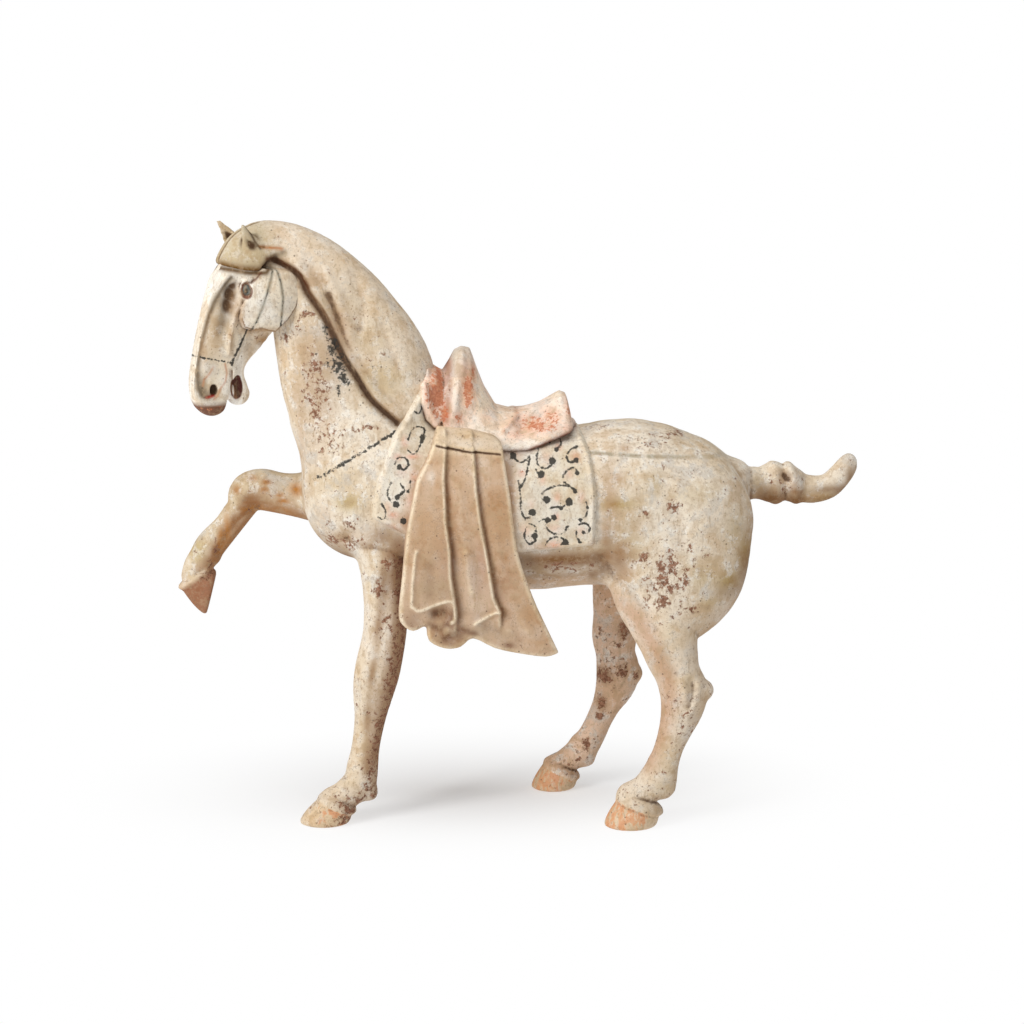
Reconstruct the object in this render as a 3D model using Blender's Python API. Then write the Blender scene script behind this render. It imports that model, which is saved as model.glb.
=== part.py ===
# Prancing horse of painted pottery with saddle, saddle blanket and a gathered cloth.
# The horse faces -X, its left side faces -Y and it stands on Z = 0.
# Shapes are worked out in millimetres and scaled to metres when the mesh is made.
import bpy
import numpy as np

# Driving dimensions, in millimetres unless named otherwise. The horse comes out 585 long and 515 high.
GRID_STEP = 2.5
TRIANGLES = 9400
SOLE_DEPTH = 3.0
CUTTER_DEPTH = 20.0
PINCH_FILL = -0.05
ROOM_LOW = (-312.3, -100.7, -8.4)
ROOM_HIGH = (306.0, 100.0, 530.0)
MIDDLE_SHIFT = (0.8, 0.9, 0.0)
SLIP_COLOUR = (0.72, 0.62, 0.48)
HEAD_TURN = np.radians(20.0)
POLL_X = -200.0
BLANKET_RISE = 4.0
MANE_RISE = 3.0
HEEL_BULGE = 2.5
FAR_CLOTH_IN = 8.0
SADDLE_FRONT_POWER = 5.0
MOUTH_TOP = 368.0
EDGE_WIDTH = 3.0
MM = 0.001

# Limbs are lists of stations: x, y, z, half thickness seen from the side, half width across
TORSO = (
    (-130, 0, 280.5, 56, 48),
    (-100, 0, 280, 60, 56),
    (-50, 0, 272, 65, 65),
    (0, 0, 267, 70, 70),
    (50, 0, 268.5, 68, 73),
    (95, 0, 271, 71, 72),
    (132, 0, 268, 62.5, 66),
)
NECK = (
    (-122, 0, 325, 64.5, 46),
    (-134, 0, 352, 62, 40),
    (-147, 0, 378, 57, 35),
    (-158, 0, 402, 50, 30),
    (-166, 0, 422, 44.5, 27),
    (-174, 0, 440, 39, 24),
    (-186, 0, 456, 34, 22),
    (-196, 0, 466, 32, 22),
)
MANE = (
    (-110, 0, 360, 38, 38),
    (-123, 0, 382, 47, 35),
    (-132, 0, 400, 47, 32),
    (-143, 0, 416, 46, 30),
    (-155, 0, 432, 45.2, 28),
    (-168, 0, 447, 43.2, 27),
    (-183, 0, 461, 41.2, 26),
    (-200, 0, 471, 39.2, 25),
    (-211, 0, 473, 38.2, 24),
)
# The head's stations run forward from the poll in its own turned frame
SKULL = (
    (7, 0, 471, 38, 23.5),
    (19, 0, 475.5, 36.5, 24),
    (28, 0, 462, 33, 25),
)
FACE = (
    (44, 0, 459, 20.5, 22),
    (50, 0, 440, 20.8, 18.5),
    (54, 0, 421, 22, 16),
    (58.5, 0, 401, 22, 14.5),
    (62.5, 0, 384, 20.7, 14.5),
    (65.5, 0, 373, 17, 14),
    (65.5, 0, 367.5, 13.6, 13),
)
CHEEK = ((17, 0, 457, 27, 29.5), (19, 0, 452, 27, 29.5))
JAW = (
    (20, 0, 438, 17, 15),
    (30, 0, 417, 11, 11),
    (39.5, 0, 404, 8.8, 9),
    (43.5, 0, 390, 6.4, 8.5),
    (41.8, 0, 371.3, 10, 8),
)
NEAR_FORE = (
    (-120, -24, 268, 38, 26),
    (-117, -28, 240, 26, 24),
    (-116.5, -30, 203, 19.5, 18),
    (-117.5, -31, 168, 18.5, 16),
    (-124, -32, 135, 19.5, 16),
    (-128, -33, 115, 17.5, 14),
    (-131, -33, 92, 13.5, 11),
    (-135, -34, 67, 12, 10.5),
    (-138, -34, 49, 13.5, 11.5),
    (-141, -34, 35, 14, 12.5),
    (-153, -36, 24, 13, 12),
    (-163.5, -37, 19.5, 12, 12),
)
RAISED_FORE = (
    (-128, 24, 272, 34, 24),
    (-152, 32, 275, 29, 23),
    (-171, 36, 273, 24, 19),
    (-189, 37, 273, 19.5, 16.5),
    (-206, 38, 275, 17.8, 15),
    (-221, 39, 278, 18.3, 15),
    (-232, 39, 276, 17.2, 15),
    (-237.5, 39, 268, 14.5, 14),
    (-243, 40, 258, 12.5, 12.5),
    (-253.5, 40, 244, 12, 11),
    (-266, 41, 230, 13.3, 11),
    (-273, 41, 219, 12.7, 12),
    (-279, 41, 211, 11.5, 11),
    (-282, 41, 202, 11, 11),
)
NEAR_HIND = (
    (142, -34, 259, 55, 38),
    (133, -40, 232, 60, 36),
    (130, -44, 219, 58, 33),
    (125, -48, 203, 48, 29.5),
    (121.5, -52, 191, 38.5, 26),
    (119.5, -55, 178, 30.5, 23),
    (122, -58, 163, 25.3, 20.5),
    (125.3, -60, 148.5, 22.3, 18),
    (130, -61, 134, 19.5, 16.5),
    (135.5, -62, 118, 20.5, 16),
    (134.5, -62, 103, 18.3, 14),
    (129.8, -62, 87, 14.8, 12),
    (124, -63, 71, 12.5, 11),
    (119.5, -63, 57, 12.8, 11.5),
    (113.5, -63, 42, 15, 12.5),
    (103, -63, 31, 13.5, 12.5),
    (91.5, -63, 25, 13.5, 13),
)
FAR_HIND = (
    (139, 34, 258, 52, 38),
    (125, 40, 232, 48, 34),
    (107, 45, 206, 38.5, 28),
    (94, 48, 180, 26, 22),
    (89, 50, 158, 20, 18),
    (88, 50, 140, 20, 17),
    (89, 51, 124, 17.5, 16),
    (91.5, 51, 107, 19.3, 16),
    (89, 51, 93, 17.3, 14),
    (82, 52, 77, 13, 12),
    (75, 52, 62, 11.5, 11),
    (68, 52, 47, 12, 11.5),
    (59, 52, 34, 13, 12),
    (45, 52, 24, 11, 12),
    (36, 52, 20, 10.5, 12),
)
TAIL = (
    (176, 0, 284, 27, 22),
    (188, 0, 285, 19, 16),
    (200, 0, 286, 14.5, 13),
    (210, 0, 285, 14, 13),
    (221, 0, 286, 18, 15.5),
    (232, 0, 285, 15.8, 14.5),
    (242, 0, 281.5, 12.8, 12),
    (254, 0, 279.5, 12, 11),
    (267, 0, 282, 11, 10),
    (276, 0, 290, 10.4, 9.5),
    (282.5, 0, 298.5, 9.4, 8.5),
    (284.7, 0, 303.5, 7.3, 6.5),
)
# Short rounded forms of fetlocks and hocks
SPURS = (
    ((-140, -34, 36, 12, 11), (-132, -34, 25, 6.8, 8.5), (-142, -34, 25.5, 7.3, 9)),
    ((-268, 41, 222, 12, 10), (-264.5, 41, 218.5, 6, 7.5)),
    ((137, -62, 119, 17, 14), (152, -62, 118.5, 9.3, 8.5)),
    ((118, -63, 54, 12.5, 11), (119.5, -63, 34.5, 10.3, 9.5), (114, -63, 33, 9.5, 10)),
    ((92, 51, 108, 17, 14), (104.5, 51, 104.5, 9, 9)),
    ((60, 52, 38, 12, 11), (64, 52, 26.5, 7.5, 8.5), (56, 52, 27, 8, 9)),
)
# Hooves: x, y, z of the sole's middle, sole turn from flat, half length, half width, height in front, at the
# back, and how far the toe wall leans in over the first 20 mm of its height
HOOVES = (
    (-171.5, -37, 0, 0.0, 22, 19, 31, 12, 15.5),
    (90.3, -63, 0, 0.0, 23, 20, 31, 14, 9.5),
    (33.5, 52, 0, 0.0, 20, 18.5, 29.5, 10.5, 10.0),
    (-266.8, 41, 186.4, 75.6, 20.8, 15, 41, 6, 11.8),
)
NEAR_EAR = ((31, 17, 493, 9, 6.5), (41.5, 20, 514, 2.4, 2.2))
FAR_EAR = ((35, -17, 494, 8, 6.5), (49, -20, 514, 2.4, 2.2))
SADDLE_TOP = (
    (-86, 372), (-83, 384), (-79, 391), (-74, 390.5), (-69, 388), (-66, 386.5),
    (-60, 396), (-55.5, 404.5), (-50, 407.5), (-43, 406), (-40.5, 399.5), (-36.5, 388), (-31, 374),
    (-21, 357), (-3, 352), (17, 358.5), (34, 368), (39, 366), (41.5, 356), (44, 342),
)
SADDLE_WIDTH = (
    (-86, 44), (-66, 47), (-50, 46), (-30, 49), (0, 52), (30, 52), (48, 50),
)
SADDLE_LOW = (
    (-86, 364), (-80, 352), (-73, 345), (-55, 340), (-20, 332), (-16, 325), (4, 326.5), (33, 336), (47, 341),
)
BLANKET = (
    (-84, 378), (-100, 352), (-109, 338), (-122, 303), (-128, 280), (-127, 270),
    (-98, 256), (-4, 243), (57, 249), (58, 295), (55, 322), (47, 345), (40, 352), (-60, 368),
)
DRAPE = (
    (-72, 345), (-80, 322), (-90, 304), (-96, 275), (-99, 258), (-102, 230), (-106, 196),
    (-104, 185), (-95, 179), (-84, 183), (-81, 170), (-68, 163.5), (-56, 164.5), (-45, 172),
    (-26, 163), (-5, 158), (16, 155), (26, 157.5), (16.5, 178), (4.5, 205), (-8.5, 245),
    (-14, 289), (-20, 327), (-22, 345),
)
GROOVE = (
    (-230, 500), (-205, 484), (-186, 472), (-179, 457), (-167, 440), (-159, 424),
    (-150, 404), (-139, 387), (-127, 368), (-106, 349), (-98, 342),
)


def blend(a, b, reach):
    """Soft union of two distances that meet within the reach."""
    h = np.maximum(reach - np.abs(a - b), 0) / reach
    return np.minimum(a, b) - h * h * reach / 4


def trim(a, b, reach):
    """Soft intersection of two distances."""
    return -blend(-a, -b, reach)


def smooth_stations(stations, parts=3):
    """More stations along a Catmull-Rom curve through the given ones."""
    s = np.array(stations, float)
    if len(s) < 3:
        return s
    ends = np.vstack([2 * s[0] - s[1], s, 2 * s[-1] - s[-2]])
    t = (np.arange(parts) / parts)[:, None]
    rows = []
    for a, b, c, d in zip(ends[:-3], ends[1:-2], ends[2:-1], ends[3:]):
        bend = (2 * a - 5 * b + 4 * c - d) * t**2 + (3 * b - a - 3 * c + d) * t**3
        rows.append(0.5 * (2 * b + (c - a) * t + bend))
    return np.vstack(rows + [s[-1:]])


def sweep(p, stations, power=2.0):
    """Distance from points to a limb with superellipse sections along its spine."""
    best = np.full(len(p), 1e3)
    s = smooth_stations(stations)
    for a, b in zip(s[:-1], s[1:]):
        ax, az = b[0] - a[0], b[2] - a[2]
        t = np.clip(((p[:, 0] - a[0]) * ax + (p[:, 2] - a[2]) * az) / (ax * ax + az * az), 0, 1)
        r = np.hypot(p[:, 0] - a[0] - t * ax, p[:, 2] - a[2] - t * az)
        v = np.abs(p[:, 1] - a[1] - t * (b[1] - a[1]))
        thick = a[3] + t * (b[3] - a[3])
        wide = a[4] + t * (b[4] - a[4])
        k = ((r / thick) ** power + (v / wide) ** power) ** (1 / power) + 1e-6
        slope = np.hypot((r / thick) ** (power - 1) / thick, (v / wide) ** (power - 1) / wide) * k ** (1 - power)
        best = np.minimum(best, np.clip((k - 1) / (slope + 1e-6), -30, 1e3))
    return best


def outline(p, corners):
    """Signed distance in the side view to a polygon, negative inside."""
    c = np.array(corners, float)
    x, z = p[:, 0], p[:, 2]
    near = np.full(len(p), 1e9)
    odd = np.zeros(len(p), bool)
    for (ax, az), (bx, bz) in zip(c, np.roll(c, -1, axis=0)):
        ex, ez = bx - ax, bz - az
        t = np.clip(((x - ax) * ex + (z - az) * ez) / (ex * ex + ez * ez), 0, 1)
        near = np.minimum(near, np.hypot(x - ax - t * ex, z - az - t * ez))
        if ez:
            cross = (z >= min(az, bz)) & (z < max(az, bz)) & (x < ax + (z - az) * ex / ez)
            odd ^= cross
    return np.where(odd, -near, near)


def head_frame(p):
    """Points in the head's frame: forward of the poll, across, up."""
    x, y = p[:, 0] - POLL_X, p[:, 1]
    forward = -x * np.cos(HEAD_TURN) - y * np.sin(HEAD_TURN)
    across = x * np.sin(HEAD_TURN) - y * np.cos(HEAD_TURN)
    return np.stack([forward, across, p[:, 2]], 1)


def hoof(p, x, y, z, turn, half_length, half_width, front, back, lean):
    """Hoof wall as a leaning oval cone between the sole and a sloping coronet."""
    c, s = np.cos(np.radians(turn)), np.sin(np.radians(turn))
    dx, dz = p[:, 0] - x, p[:, 2] - z
    toe = -dx * c - dz * s
    up = dz * c - dx * s
    lean_in = lean * (np.clip(up, 0, 60) / 20) ** 1.5
    heel_out = HEEL_BULGE * np.sin(np.pi * np.clip(up / 20, 0, 1))
    mid = -(lean_in + heel_out) / 2
    long = np.maximum(half_length + (heel_out - lean_in) / 2, 4)
    wide = np.maximum(half_width - 0.35 * lean_in + 0.4 * heel_out, 4)
    k = np.hypot((toe - mid) / long, (p[:, 1] - y) / wide) + 1e-6
    wall = (k - 1) * np.minimum(long, wide)
    top = up - (front + back) / 2 - (front - back) / (2 * half_length) * (toe + 4)
    return trim(trim(wall, top * 0.9, 4), -up - SOLE_DEPTH, 2)


def saddle(p):
    """Saddle as a height over the back: high pommel, low seat, rolled cantle."""
    x, z = p[:, 0], p[:, 2]
    v = np.abs(p[:, 1])
    tops, widths, lows = np.array(SADDLE_TOP, float), np.array(SADDLE_WIDTH, float), np.array(SADDLE_LOW, float)
    top = np.interp(x, tops[:, 0], tops[:, 1])
    wide = np.interp(x, widths[:, 0], widths[:, 1])
    low = 326.0
    share = np.clip(v / wide, 0, 1.2)
    power = np.interp(x, (-70, -52), (SADDLE_FRONT_POWER, 2.3))
    height = low + (top - low) * (1 - share**power)
    shell = (z - height) * 0.62
    ends = np.maximum(-86 - x, x - 47)
    foot = np.interp(x, lows[:, 0], lows[:, 1])
    return trim(trim(trim(shell, ends, 3), v - wide, 4), (foot - z) * 0.85, 2.5)


def grow(d, p, shape, low, high, reach):
    """Soft union of the distances with one more shape inside its box."""
    m = ((p > np.array(low) - reach - 4) & (p < np.array(high) + reach + 4)).all(axis=1)
    if m.any():
        d[m] = blend(d[m], shape(p[m]), reach)
    return d


def box_of(stations):
    s = np.array(stations, float)
    wide = np.maximum(s[:, 3], s[:, 4])[:, None]
    return (s[:, :3] - wide).min(axis=0), (s[:, :3] + wide).max(axis=0)


def add_limb(d, p, stations, reach, power=2.0):
    low, high = box_of(stations)
    return grow(d, p, lambda q: sweep(q, stations, power), low, high, reach)


def head(p):
    """Skull, jaws, cheeks, ears and the open mouth."""
    q = head_frame(p)
    d = blend(sweep(q, SKULL, 2.3), sweep(q, FACE, 2.8), 5)
    side = np.abs(q[:, 1])
    hollow = np.sqrt((q[:, 0] - 56) ** 2 + (side - 28) ** 2 + (0.7 * (q[:, 2] - 456)) ** 2) - 11
    d = trim(d, -hollow, 7)
    d = blend(d, sweep(q, CHEEK, 3.4), 3)
    d = blend(d, sweep(q, JAW, 2.4), 2.5)
    below = MOUTH_TOP - q[:, 2]
    gap = np.maximum(np.abs(q[:, 0] - 52.2) - 2.3 - 0.1 * below, -below)
    d = trim(d, -np.where(q[:, 2] > 350, gap, 9.0), 1.5)
    d = blend(d, sweep(q, NEAR_EAR), 3)
    return blend(d, sweep(q, FAR_EAR), 3)


def body(p):
    """Distance to the horse without its saddle and cloths."""
    d = np.full(len(p), 1e3)
    d = add_limb(d, p, TORSO, 1, 2.2)
    d = add_limb(d, p, NECK, 18, 2.2)
    mane_side = -outline(p, GROOVE + ((-60, 342), (-40, 540), (-230, 540)))
    low, high = box_of(MANE)
    m = ((p > low - 12) & (p < high + 12)).all(axis=1)
    rise = MANE_RISE * np.clip(mane_side[m] / 3, -0.6, 1) * np.clip((p[m, 2] - 340) / 12, 0, 1)
    d[m] = blend(d[m], sweep(p[m], MANE, 2.5), 6) - rise
    d = add_limb(d, p, NEAR_FORE, 8)
    d = add_limb(d, p, RAISED_FORE, 14)
    d = add_limb(d, p, NEAR_HIND, 12)
    d = add_limb(d, p, FAR_HIND, 12)
    d = add_limb(d, p, TAIL, 6)
    for spur in SPURS:
        d = add_limb(d, p, spur, 3)
    for shape in HOOVES:
        x, y, z, r = shape[0], shape[1], shape[2], 40
        d = grow(d, p, lambda q: hoof(q, *shape), (x - r, y - r, z - r), (x + r, y + r, z + r), 2)
    d = grow(d, p, head, (-300, -60, 340), (-165, 60, 530), 3)
    return d


def cloth(p, side):
    """Gathered cloth hanging over the blanket on one side."""
    x, z = p[:, 0], p[:, 2]
    v = p[:, 1] * side
    q = p.copy()
    if side > 0:
        q[:, 0] += FAR_CLOTH_IN * np.clip((x + 50) / 60, 0, 1)
    edge = outline(q, DRAPE) - 1
    out = 80 - 30 * np.clip((z - 235) / 112, 0, 1) ** 2.9
    out = out - 6 * np.clip((-60 - x) / 45, 0, 1) ** 2 * np.clip((z - 200) / 60, 0, 1)
    spread = np.clip((345 - z) / 190, 0, 1)
    phase = (x + 62 - 26 * spread) / (17 + 14 * spread)
    fold = 1.8 * np.cos(2 * np.pi * phase) * (1 if side < 0 else 0.5)
    thick = np.interp(z, (150, 215, 260, 300), (4.5, 6, 16, 30))
    slab = np.maximum(v - out - fold, out - 2 * thick - v)
    return trim(slab, edge, 3)


def whole(p):
    d = body(p)
    m = ((p > np.array((-140, -96, 235))) & (p < np.array((70, 96, 415)))).all(axis=1)
    q = p[m]
    d[m] -= BLANKET_RISE * np.clip(0.5 - outline(q, BLANKET) / EDGE_WIDTH, 0, 1)
    d = grow(d, p, saddle, (-90, -56, 320), (52, 56, 412), 1)
    d = grow(d, p, lambda q: cloth(q, -1), (-112, -92, 150), (32, -10, 350), 1)
    return grow(d, p, lambda q: cloth(q, 1), (-112, 10, 150), (32, 92, 350), 1)


def sample(field, low, high, step, block=4):
    """Field values on a fine grid, worked out only in blocks near the surface."""
    n = np.ceil((high - low) / (step * block)).astype(int)
    grid = np.stack(np.meshgrid(*[np.arange(k) for k in n], indexing="ij"), -1).reshape(-1, 3)
    mid = low + (grid * block + (block - 1) / 2) * step
    rough = np.concatenate([field(part) for part in np.array_split(mid, max(1, len(mid) // 200000))])
    values = np.where(rough < 0, -1e3, 1e3).reshape(n)
    for axis in range(3):
        values = np.repeat(values, block, axis=axis)
    near = grid[np.abs(rough) < 2.2 * block * step]
    inner = np.stack(np.meshgrid(*[np.arange(block)] * 3, indexing="ij"), -1).reshape(-1, 3)
    for part in np.array_split(near, max(1, len(near) // 8000)):
        cell = (part[:, None] * block + inner).reshape(-1, 3)
        values[cell[:, 0], cell[:, 1], cell[:, 2]] = field(low + cell * step)
    return values


def unpinch(values):
    """Fills grid squares whose corners are inside only across a diagonal, where the surface would touch itself."""
    for _ in range(20):
        inside = values < 0
        found = 0
        for i, j in ((0, 1), (1, 2), (0, 2)):
            n = values.shape
            a, b, c, d = (
                tuple(slice(u[k], n[k] - 1 + u[k]) if k in (i, j) else slice(None) for k in range(3))
                for u in (
                    [0, 0, 0],
                    [int(k == i) for k in range(3)],
                    [int(k == j) for k in range(3)],
                    [int(k in (i, j)) for k in range(3)],
                )
            )
            first = inside[a] & inside[d] & ~inside[b] & ~inside[c]
            second = inside[b] & inside[c] & ~inside[a] & ~inside[d]
            found += first.sum() + second.sum()
            values[b][first] = PINCH_FILL
            values[a][second] = PINCH_FILL
        if not found:
            break
    return values


def net(values, low, step):
    """Closed quads through the zero level of a grid, one corner per mixed cell."""
    inside = values < 0
    n = np.array(values.shape) - 1
    count = np.zeros(n, np.int8)
    corners = [(i, j, k) for i in (0, 1) for j in (0, 1) for k in (0, 1)]
    for i, j, k in corners:
        count += inside[i:n[0] + i, j:n[1] + j, k:n[2] + k]
    cell = np.argwhere((count > 0) & (count < 8))
    number = np.full(n, -1)
    number[tuple(cell.T)] = np.arange(len(cell))
    total, weight = np.zeros((len(cell), 3)), np.zeros(len(cell))
    for a in corners:
        for axis in range(3):
            if a[axis]:
                continue
            b = list(a)
            b[axis] = 1
            fa, fb = values[tuple((cell + a).T)], values[tuple((cell + b).T)]
            hit = (fa < 0) != (fb < 0)
            t = np.where(hit, fa / np.where(hit, fa - fb, 1), 0)
            spot = np.array(a) + t[:, None] * np.eye(3)[axis]
            total[hit] += spot[hit]
            weight += hit
    points = low + (cell + total / weight[:, None]) * step
    quads = []
    for axis in range(3):
        j, k = (axis + 1) % 3, (axis + 2) % 3
        first = np.take(inside, range(inside.shape[axis] - 1), axis)
        second = np.take(inside, range(1, inside.shape[axis]), axis)
        edge = np.argwhere(first != second)
        out = first[tuple(edge.T)]
        ring = []
        for dj, dk in ((-1, -1), (0, -1), (0, 0), (-1, 0)):
            at = edge.copy()
            at[:, j] += dj
            at[:, k] += dk
            ring.append(number[tuple(at.T)])
        ring = np.stack(ring, 1)
        quads.append(np.where(out[:, None], ring, ring[:, ::-1]))
    return points, np.vstack(quads)


def painted_clay():
    """Cream slip over fired clay."""
    paint = bpy.data.materials.new("painted_clay")
    paint.use_nodes = True
    shader = paint.node_tree.nodes["Principled BSDF"]
    shader.inputs["Base Color"].default_value = (*SLIP_COLOUR, 1)
    shader.inputs["Roughness"].default_value = 0.85
    shader.inputs["Metallic"].default_value = 0
    return paint


def ground_cutter():
    """Block under the soles, which cuts them flat at Z = 0."""
    bpy.ops.mesh.primitive_cube_add(size=1, location=(0, 0, -CUTTER_DEPTH / 2 * MM))
    block = bpy.context.object
    block.name = "ground_cutter"
    block.scale = (1.2, 0.6, CUTTER_DEPTH * MM)
    block.hide_render = True
    block.display_type = "WIRE"
    return block


def make():
    low, high = np.array(ROOM_LOW), np.array(ROOM_HIGH)
    points, quads = net(unpinch(sample(whole, low, high, GRID_STEP)), low, GRID_STEP)
    points += np.array(MIDDLE_SHIFT)
    mesh = bpy.data.meshes.new("horse")
    mesh.from_pydata((points * MM).tolist(), [], quads.tolist())
    horse = bpy.data.objects.new("horse", mesh)
    bpy.context.collection.objects.link(horse)
    horse.data.materials.append(painted_clay())
    soft = horse.modifiers.new("even surface", "SMOOTH")
    soft.factor = 0.5
    soft.iterations = 2
    thin = horse.modifiers.new("fewer faces", "DECIMATE")
    thin.ratio = TRIANGLES / (2 * len(quads))
    thin.use_collapse_triangulate = True
    flat = horse.modifiers.new("flat soles", "BOOLEAN")
    flat.operation = "DIFFERENCE"
    flat.solver = "EXACT"
    flat.object = ground_cutter()
    return horse


def main():
    for item in list(bpy.data.objects):
        bpy.data.objects.remove(item, do_unlink=True)
    make()


main()
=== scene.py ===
"""Painted pottery tomb horse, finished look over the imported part."""
from concurrent.futures import ThreadPoolExecutor
import bpy
import numpy as np
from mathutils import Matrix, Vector


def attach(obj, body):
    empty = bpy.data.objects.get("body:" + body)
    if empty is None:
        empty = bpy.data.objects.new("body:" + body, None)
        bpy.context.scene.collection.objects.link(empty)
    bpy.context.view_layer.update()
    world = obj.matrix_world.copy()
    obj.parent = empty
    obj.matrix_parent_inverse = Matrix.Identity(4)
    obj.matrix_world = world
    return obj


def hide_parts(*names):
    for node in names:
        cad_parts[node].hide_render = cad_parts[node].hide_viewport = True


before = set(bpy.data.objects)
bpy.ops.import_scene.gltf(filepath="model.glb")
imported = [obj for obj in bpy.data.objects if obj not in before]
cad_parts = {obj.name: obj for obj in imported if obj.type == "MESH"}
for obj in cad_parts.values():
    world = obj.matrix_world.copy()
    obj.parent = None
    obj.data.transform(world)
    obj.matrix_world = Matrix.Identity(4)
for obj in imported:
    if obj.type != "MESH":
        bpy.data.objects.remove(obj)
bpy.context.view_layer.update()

# Sizes in millimetres in the part's own frame: the horse faces -X, its near side faces -Y, +Z is up
MIDDLE_SHIFT = (0.8, 0.9, 0.0)
HEAD_TURN = np.radians(20.0)
POLL_X = -200.0
BLANKET_RISE = 4.0
SADDLE_RISE = 6.5
MANE_RISE = 3.0
HEEL_BULGE = 2.5
FAR_CLOTH_IN = 8.0
SADDLE_FRONT_POWER = 5.0
SADDLE_BASE = 326.0
MOUTH_TOP = 368.0
EDGE_WIDTH = 3.0
MM = 0.001
# Share of bare clay where nothing else is said, and the ink value that stands for no line
BARE_CLAY = 0.22
NO_INK = 9.0

# Value given to a pinched grid point, the plane between the front and rear skin, and the grids' steps
PINCH_FILL = -0.05
SEAM = -42.0
BODY_STEP = 1.7
FACE_STEP = 0.85
SADDLE_STEP = 1.1
BLANKET_STEP = 1.0
CLOTH_STEP = 1.0
FAR_STEP = 1.5
# The photograph's view: camera angles in degrees, distance and size of one picture dot at the horse in
# metres
AZIMUTH = -4.0
ELEVATION = 11.5
DISTANCE = 2.4
PIXEL = 0.00086
TARGET = (-0.0060, 0.0009, 0.2630)
SENSOR = 36
PICTURE = 1024
FLOOR_HALF = 90
WORLD_LIGHT = 0.20
# Floor: its diffuse white, where its painted glow starts and reaches full strength, and the stretch and place of the
# pool round the horse where it glows least
FLOOR_WHITE = 0.95
FLOOR_NEAR = -0.17
FLOOR_FAR = 0.38
POOL_DEPTH = 1.7
POOL_PLACE = (0.05, -0.09, 0.0)
# Soft square lights: name, place, side in metres, power
LIGHTS = (
    ("overhead", (0.0, -0.5, 2.6), 2.4, 40.0),
    ("key", (-2.2, -1.7, 1.5), 1.1, 54.0),
)

# Limbs are lists of stations: x, y, z, half thickness seen from the side, half width across
TORSO = (
    (-130, 0, 280.5, 56, 48),
    (-100, 0, 280, 60, 56),
    (-50, 0, 272, 65, 65),
    (0, 0, 267, 70, 70),
    (50, 0, 268.5, 68, 73),
    (95, 0, 271, 71, 72),
    (132, 0, 268, 62.5, 66),
)
NECK = (
    (-122, 0, 325, 64.5, 46),
    (-134, 0, 352, 62, 40),
    (-147, 0, 378, 57, 35),
    (-158, 0, 402, 50, 30),
    (-166, 0, 422, 44.5, 27),
    (-174, 0, 440, 39, 24),
    (-186, 0, 456, 34, 22),
    (-196, 0, 466, 32, 22),
)
MANE = (
    (-110, 0, 360, 38, 38),
    (-123, 0, 382, 47, 35),
    (-132, 0, 400, 47, 32),
    (-143, 0, 416, 46, 30),
    (-155, 0, 432, 45.2, 28),
    (-168, 0, 447, 43.2, 27),
    (-183, 0, 461, 41.2, 26),
    (-200, 0, 471, 39.2, 25),
    (-211, 0, 473, 38.2, 24),
)
# The head's stations run forward from the poll in its own turned frame
SKULL = (
    (7, 0, 471, 38, 23.5),
    (19, 0, 475.5, 36.5, 24),
    (28, 0, 462, 33, 25),
)
FACE = (
    (44, 0, 459, 20.5, 22),
    (50, 0, 440, 20.8, 18.5),
    (54, 0, 421, 22, 16),
    (58.5, 0, 401, 22, 14.5),
    (62.5, 0, 384, 20.7, 14.5),
    (65.5, 0, 373, 17, 14),
    (65.5, 0, 367.5, 13.6, 13),
)
JAW = (
    (20, 0, 438, 17, 15),
    (30, 0, 417, 11, 11),
    (39.5, 0, 404, 8.8, 9),
    (43.5, 0, 390, 6.4, 8.5),
    (41.8, 0, 371.3, 10, 8),
)
NEAR_FORE = (
    (-120, -24, 268, 38, 26),
    (-117, -28, 240, 26, 24),
    (-116.5, -30, 203, 19.5, 18),
    (-117.5, -31, 168, 18.5, 16),
    (-124, -32, 135, 19.5, 16),
    (-128, -33, 115, 17.5, 14),
    (-131, -33, 92, 13.5, 11),
    (-135, -34, 67, 12, 10.5),
    (-138, -34, 49, 13.5, 11.5),
    (-141, -34, 35, 14, 12.5),
    (-153, -36, 24, 13, 12),
    (-163.5, -37, 19.5, 12, 12),
)
RAISED_FORE = (
    (-128, 24, 272, 34, 24),
    (-152, 32, 275, 29, 23),
    (-171, 36, 273, 24, 19),
    (-189, 37, 273, 19.5, 16.5),
    (-206, 38, 275, 17.8, 15),
    (-221, 39, 278, 18.3, 15),
    (-232, 39, 276, 17.2, 15),
    (-237.5, 39, 268, 14.5, 14),
    (-243, 40, 258, 12.5, 12.5),
    (-253.5, 40, 244, 12, 11),
    (-266, 41, 230, 13.3, 11),
    (-273, 41, 219, 12.7, 12),
    (-279, 41, 211, 11.5, 11),
    (-282, 41, 202, 11, 11),
)
NEAR_HIND = (
    (142, -34, 259, 55, 38),
    (133, -40, 232, 60, 36),
    (130, -44, 219, 58, 33),
    (125, -48, 203, 48, 29.5),
    (121.5, -52, 191, 38.5, 26),
    (119.5, -55, 178, 30.5, 23),
    (122, -58, 163, 25.3, 20.5),
    (125.3, -60, 148.5, 22.3, 18),
    (130, -61, 134, 19.5, 16.5),
    (135.5, -62, 118, 20.5, 16),
    (134.5, -62, 103, 18.3, 14),
    (129.8, -62, 87, 14.8, 12),
    (124, -63, 71, 12.5, 11),
    (119.5, -63, 57, 12.8, 11.5),
    (113.5, -63, 42, 15, 12.5),
    (103, -63, 31, 13.5, 12.5),
    (91.5, -63, 25, 13.5, 13),
)
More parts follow.
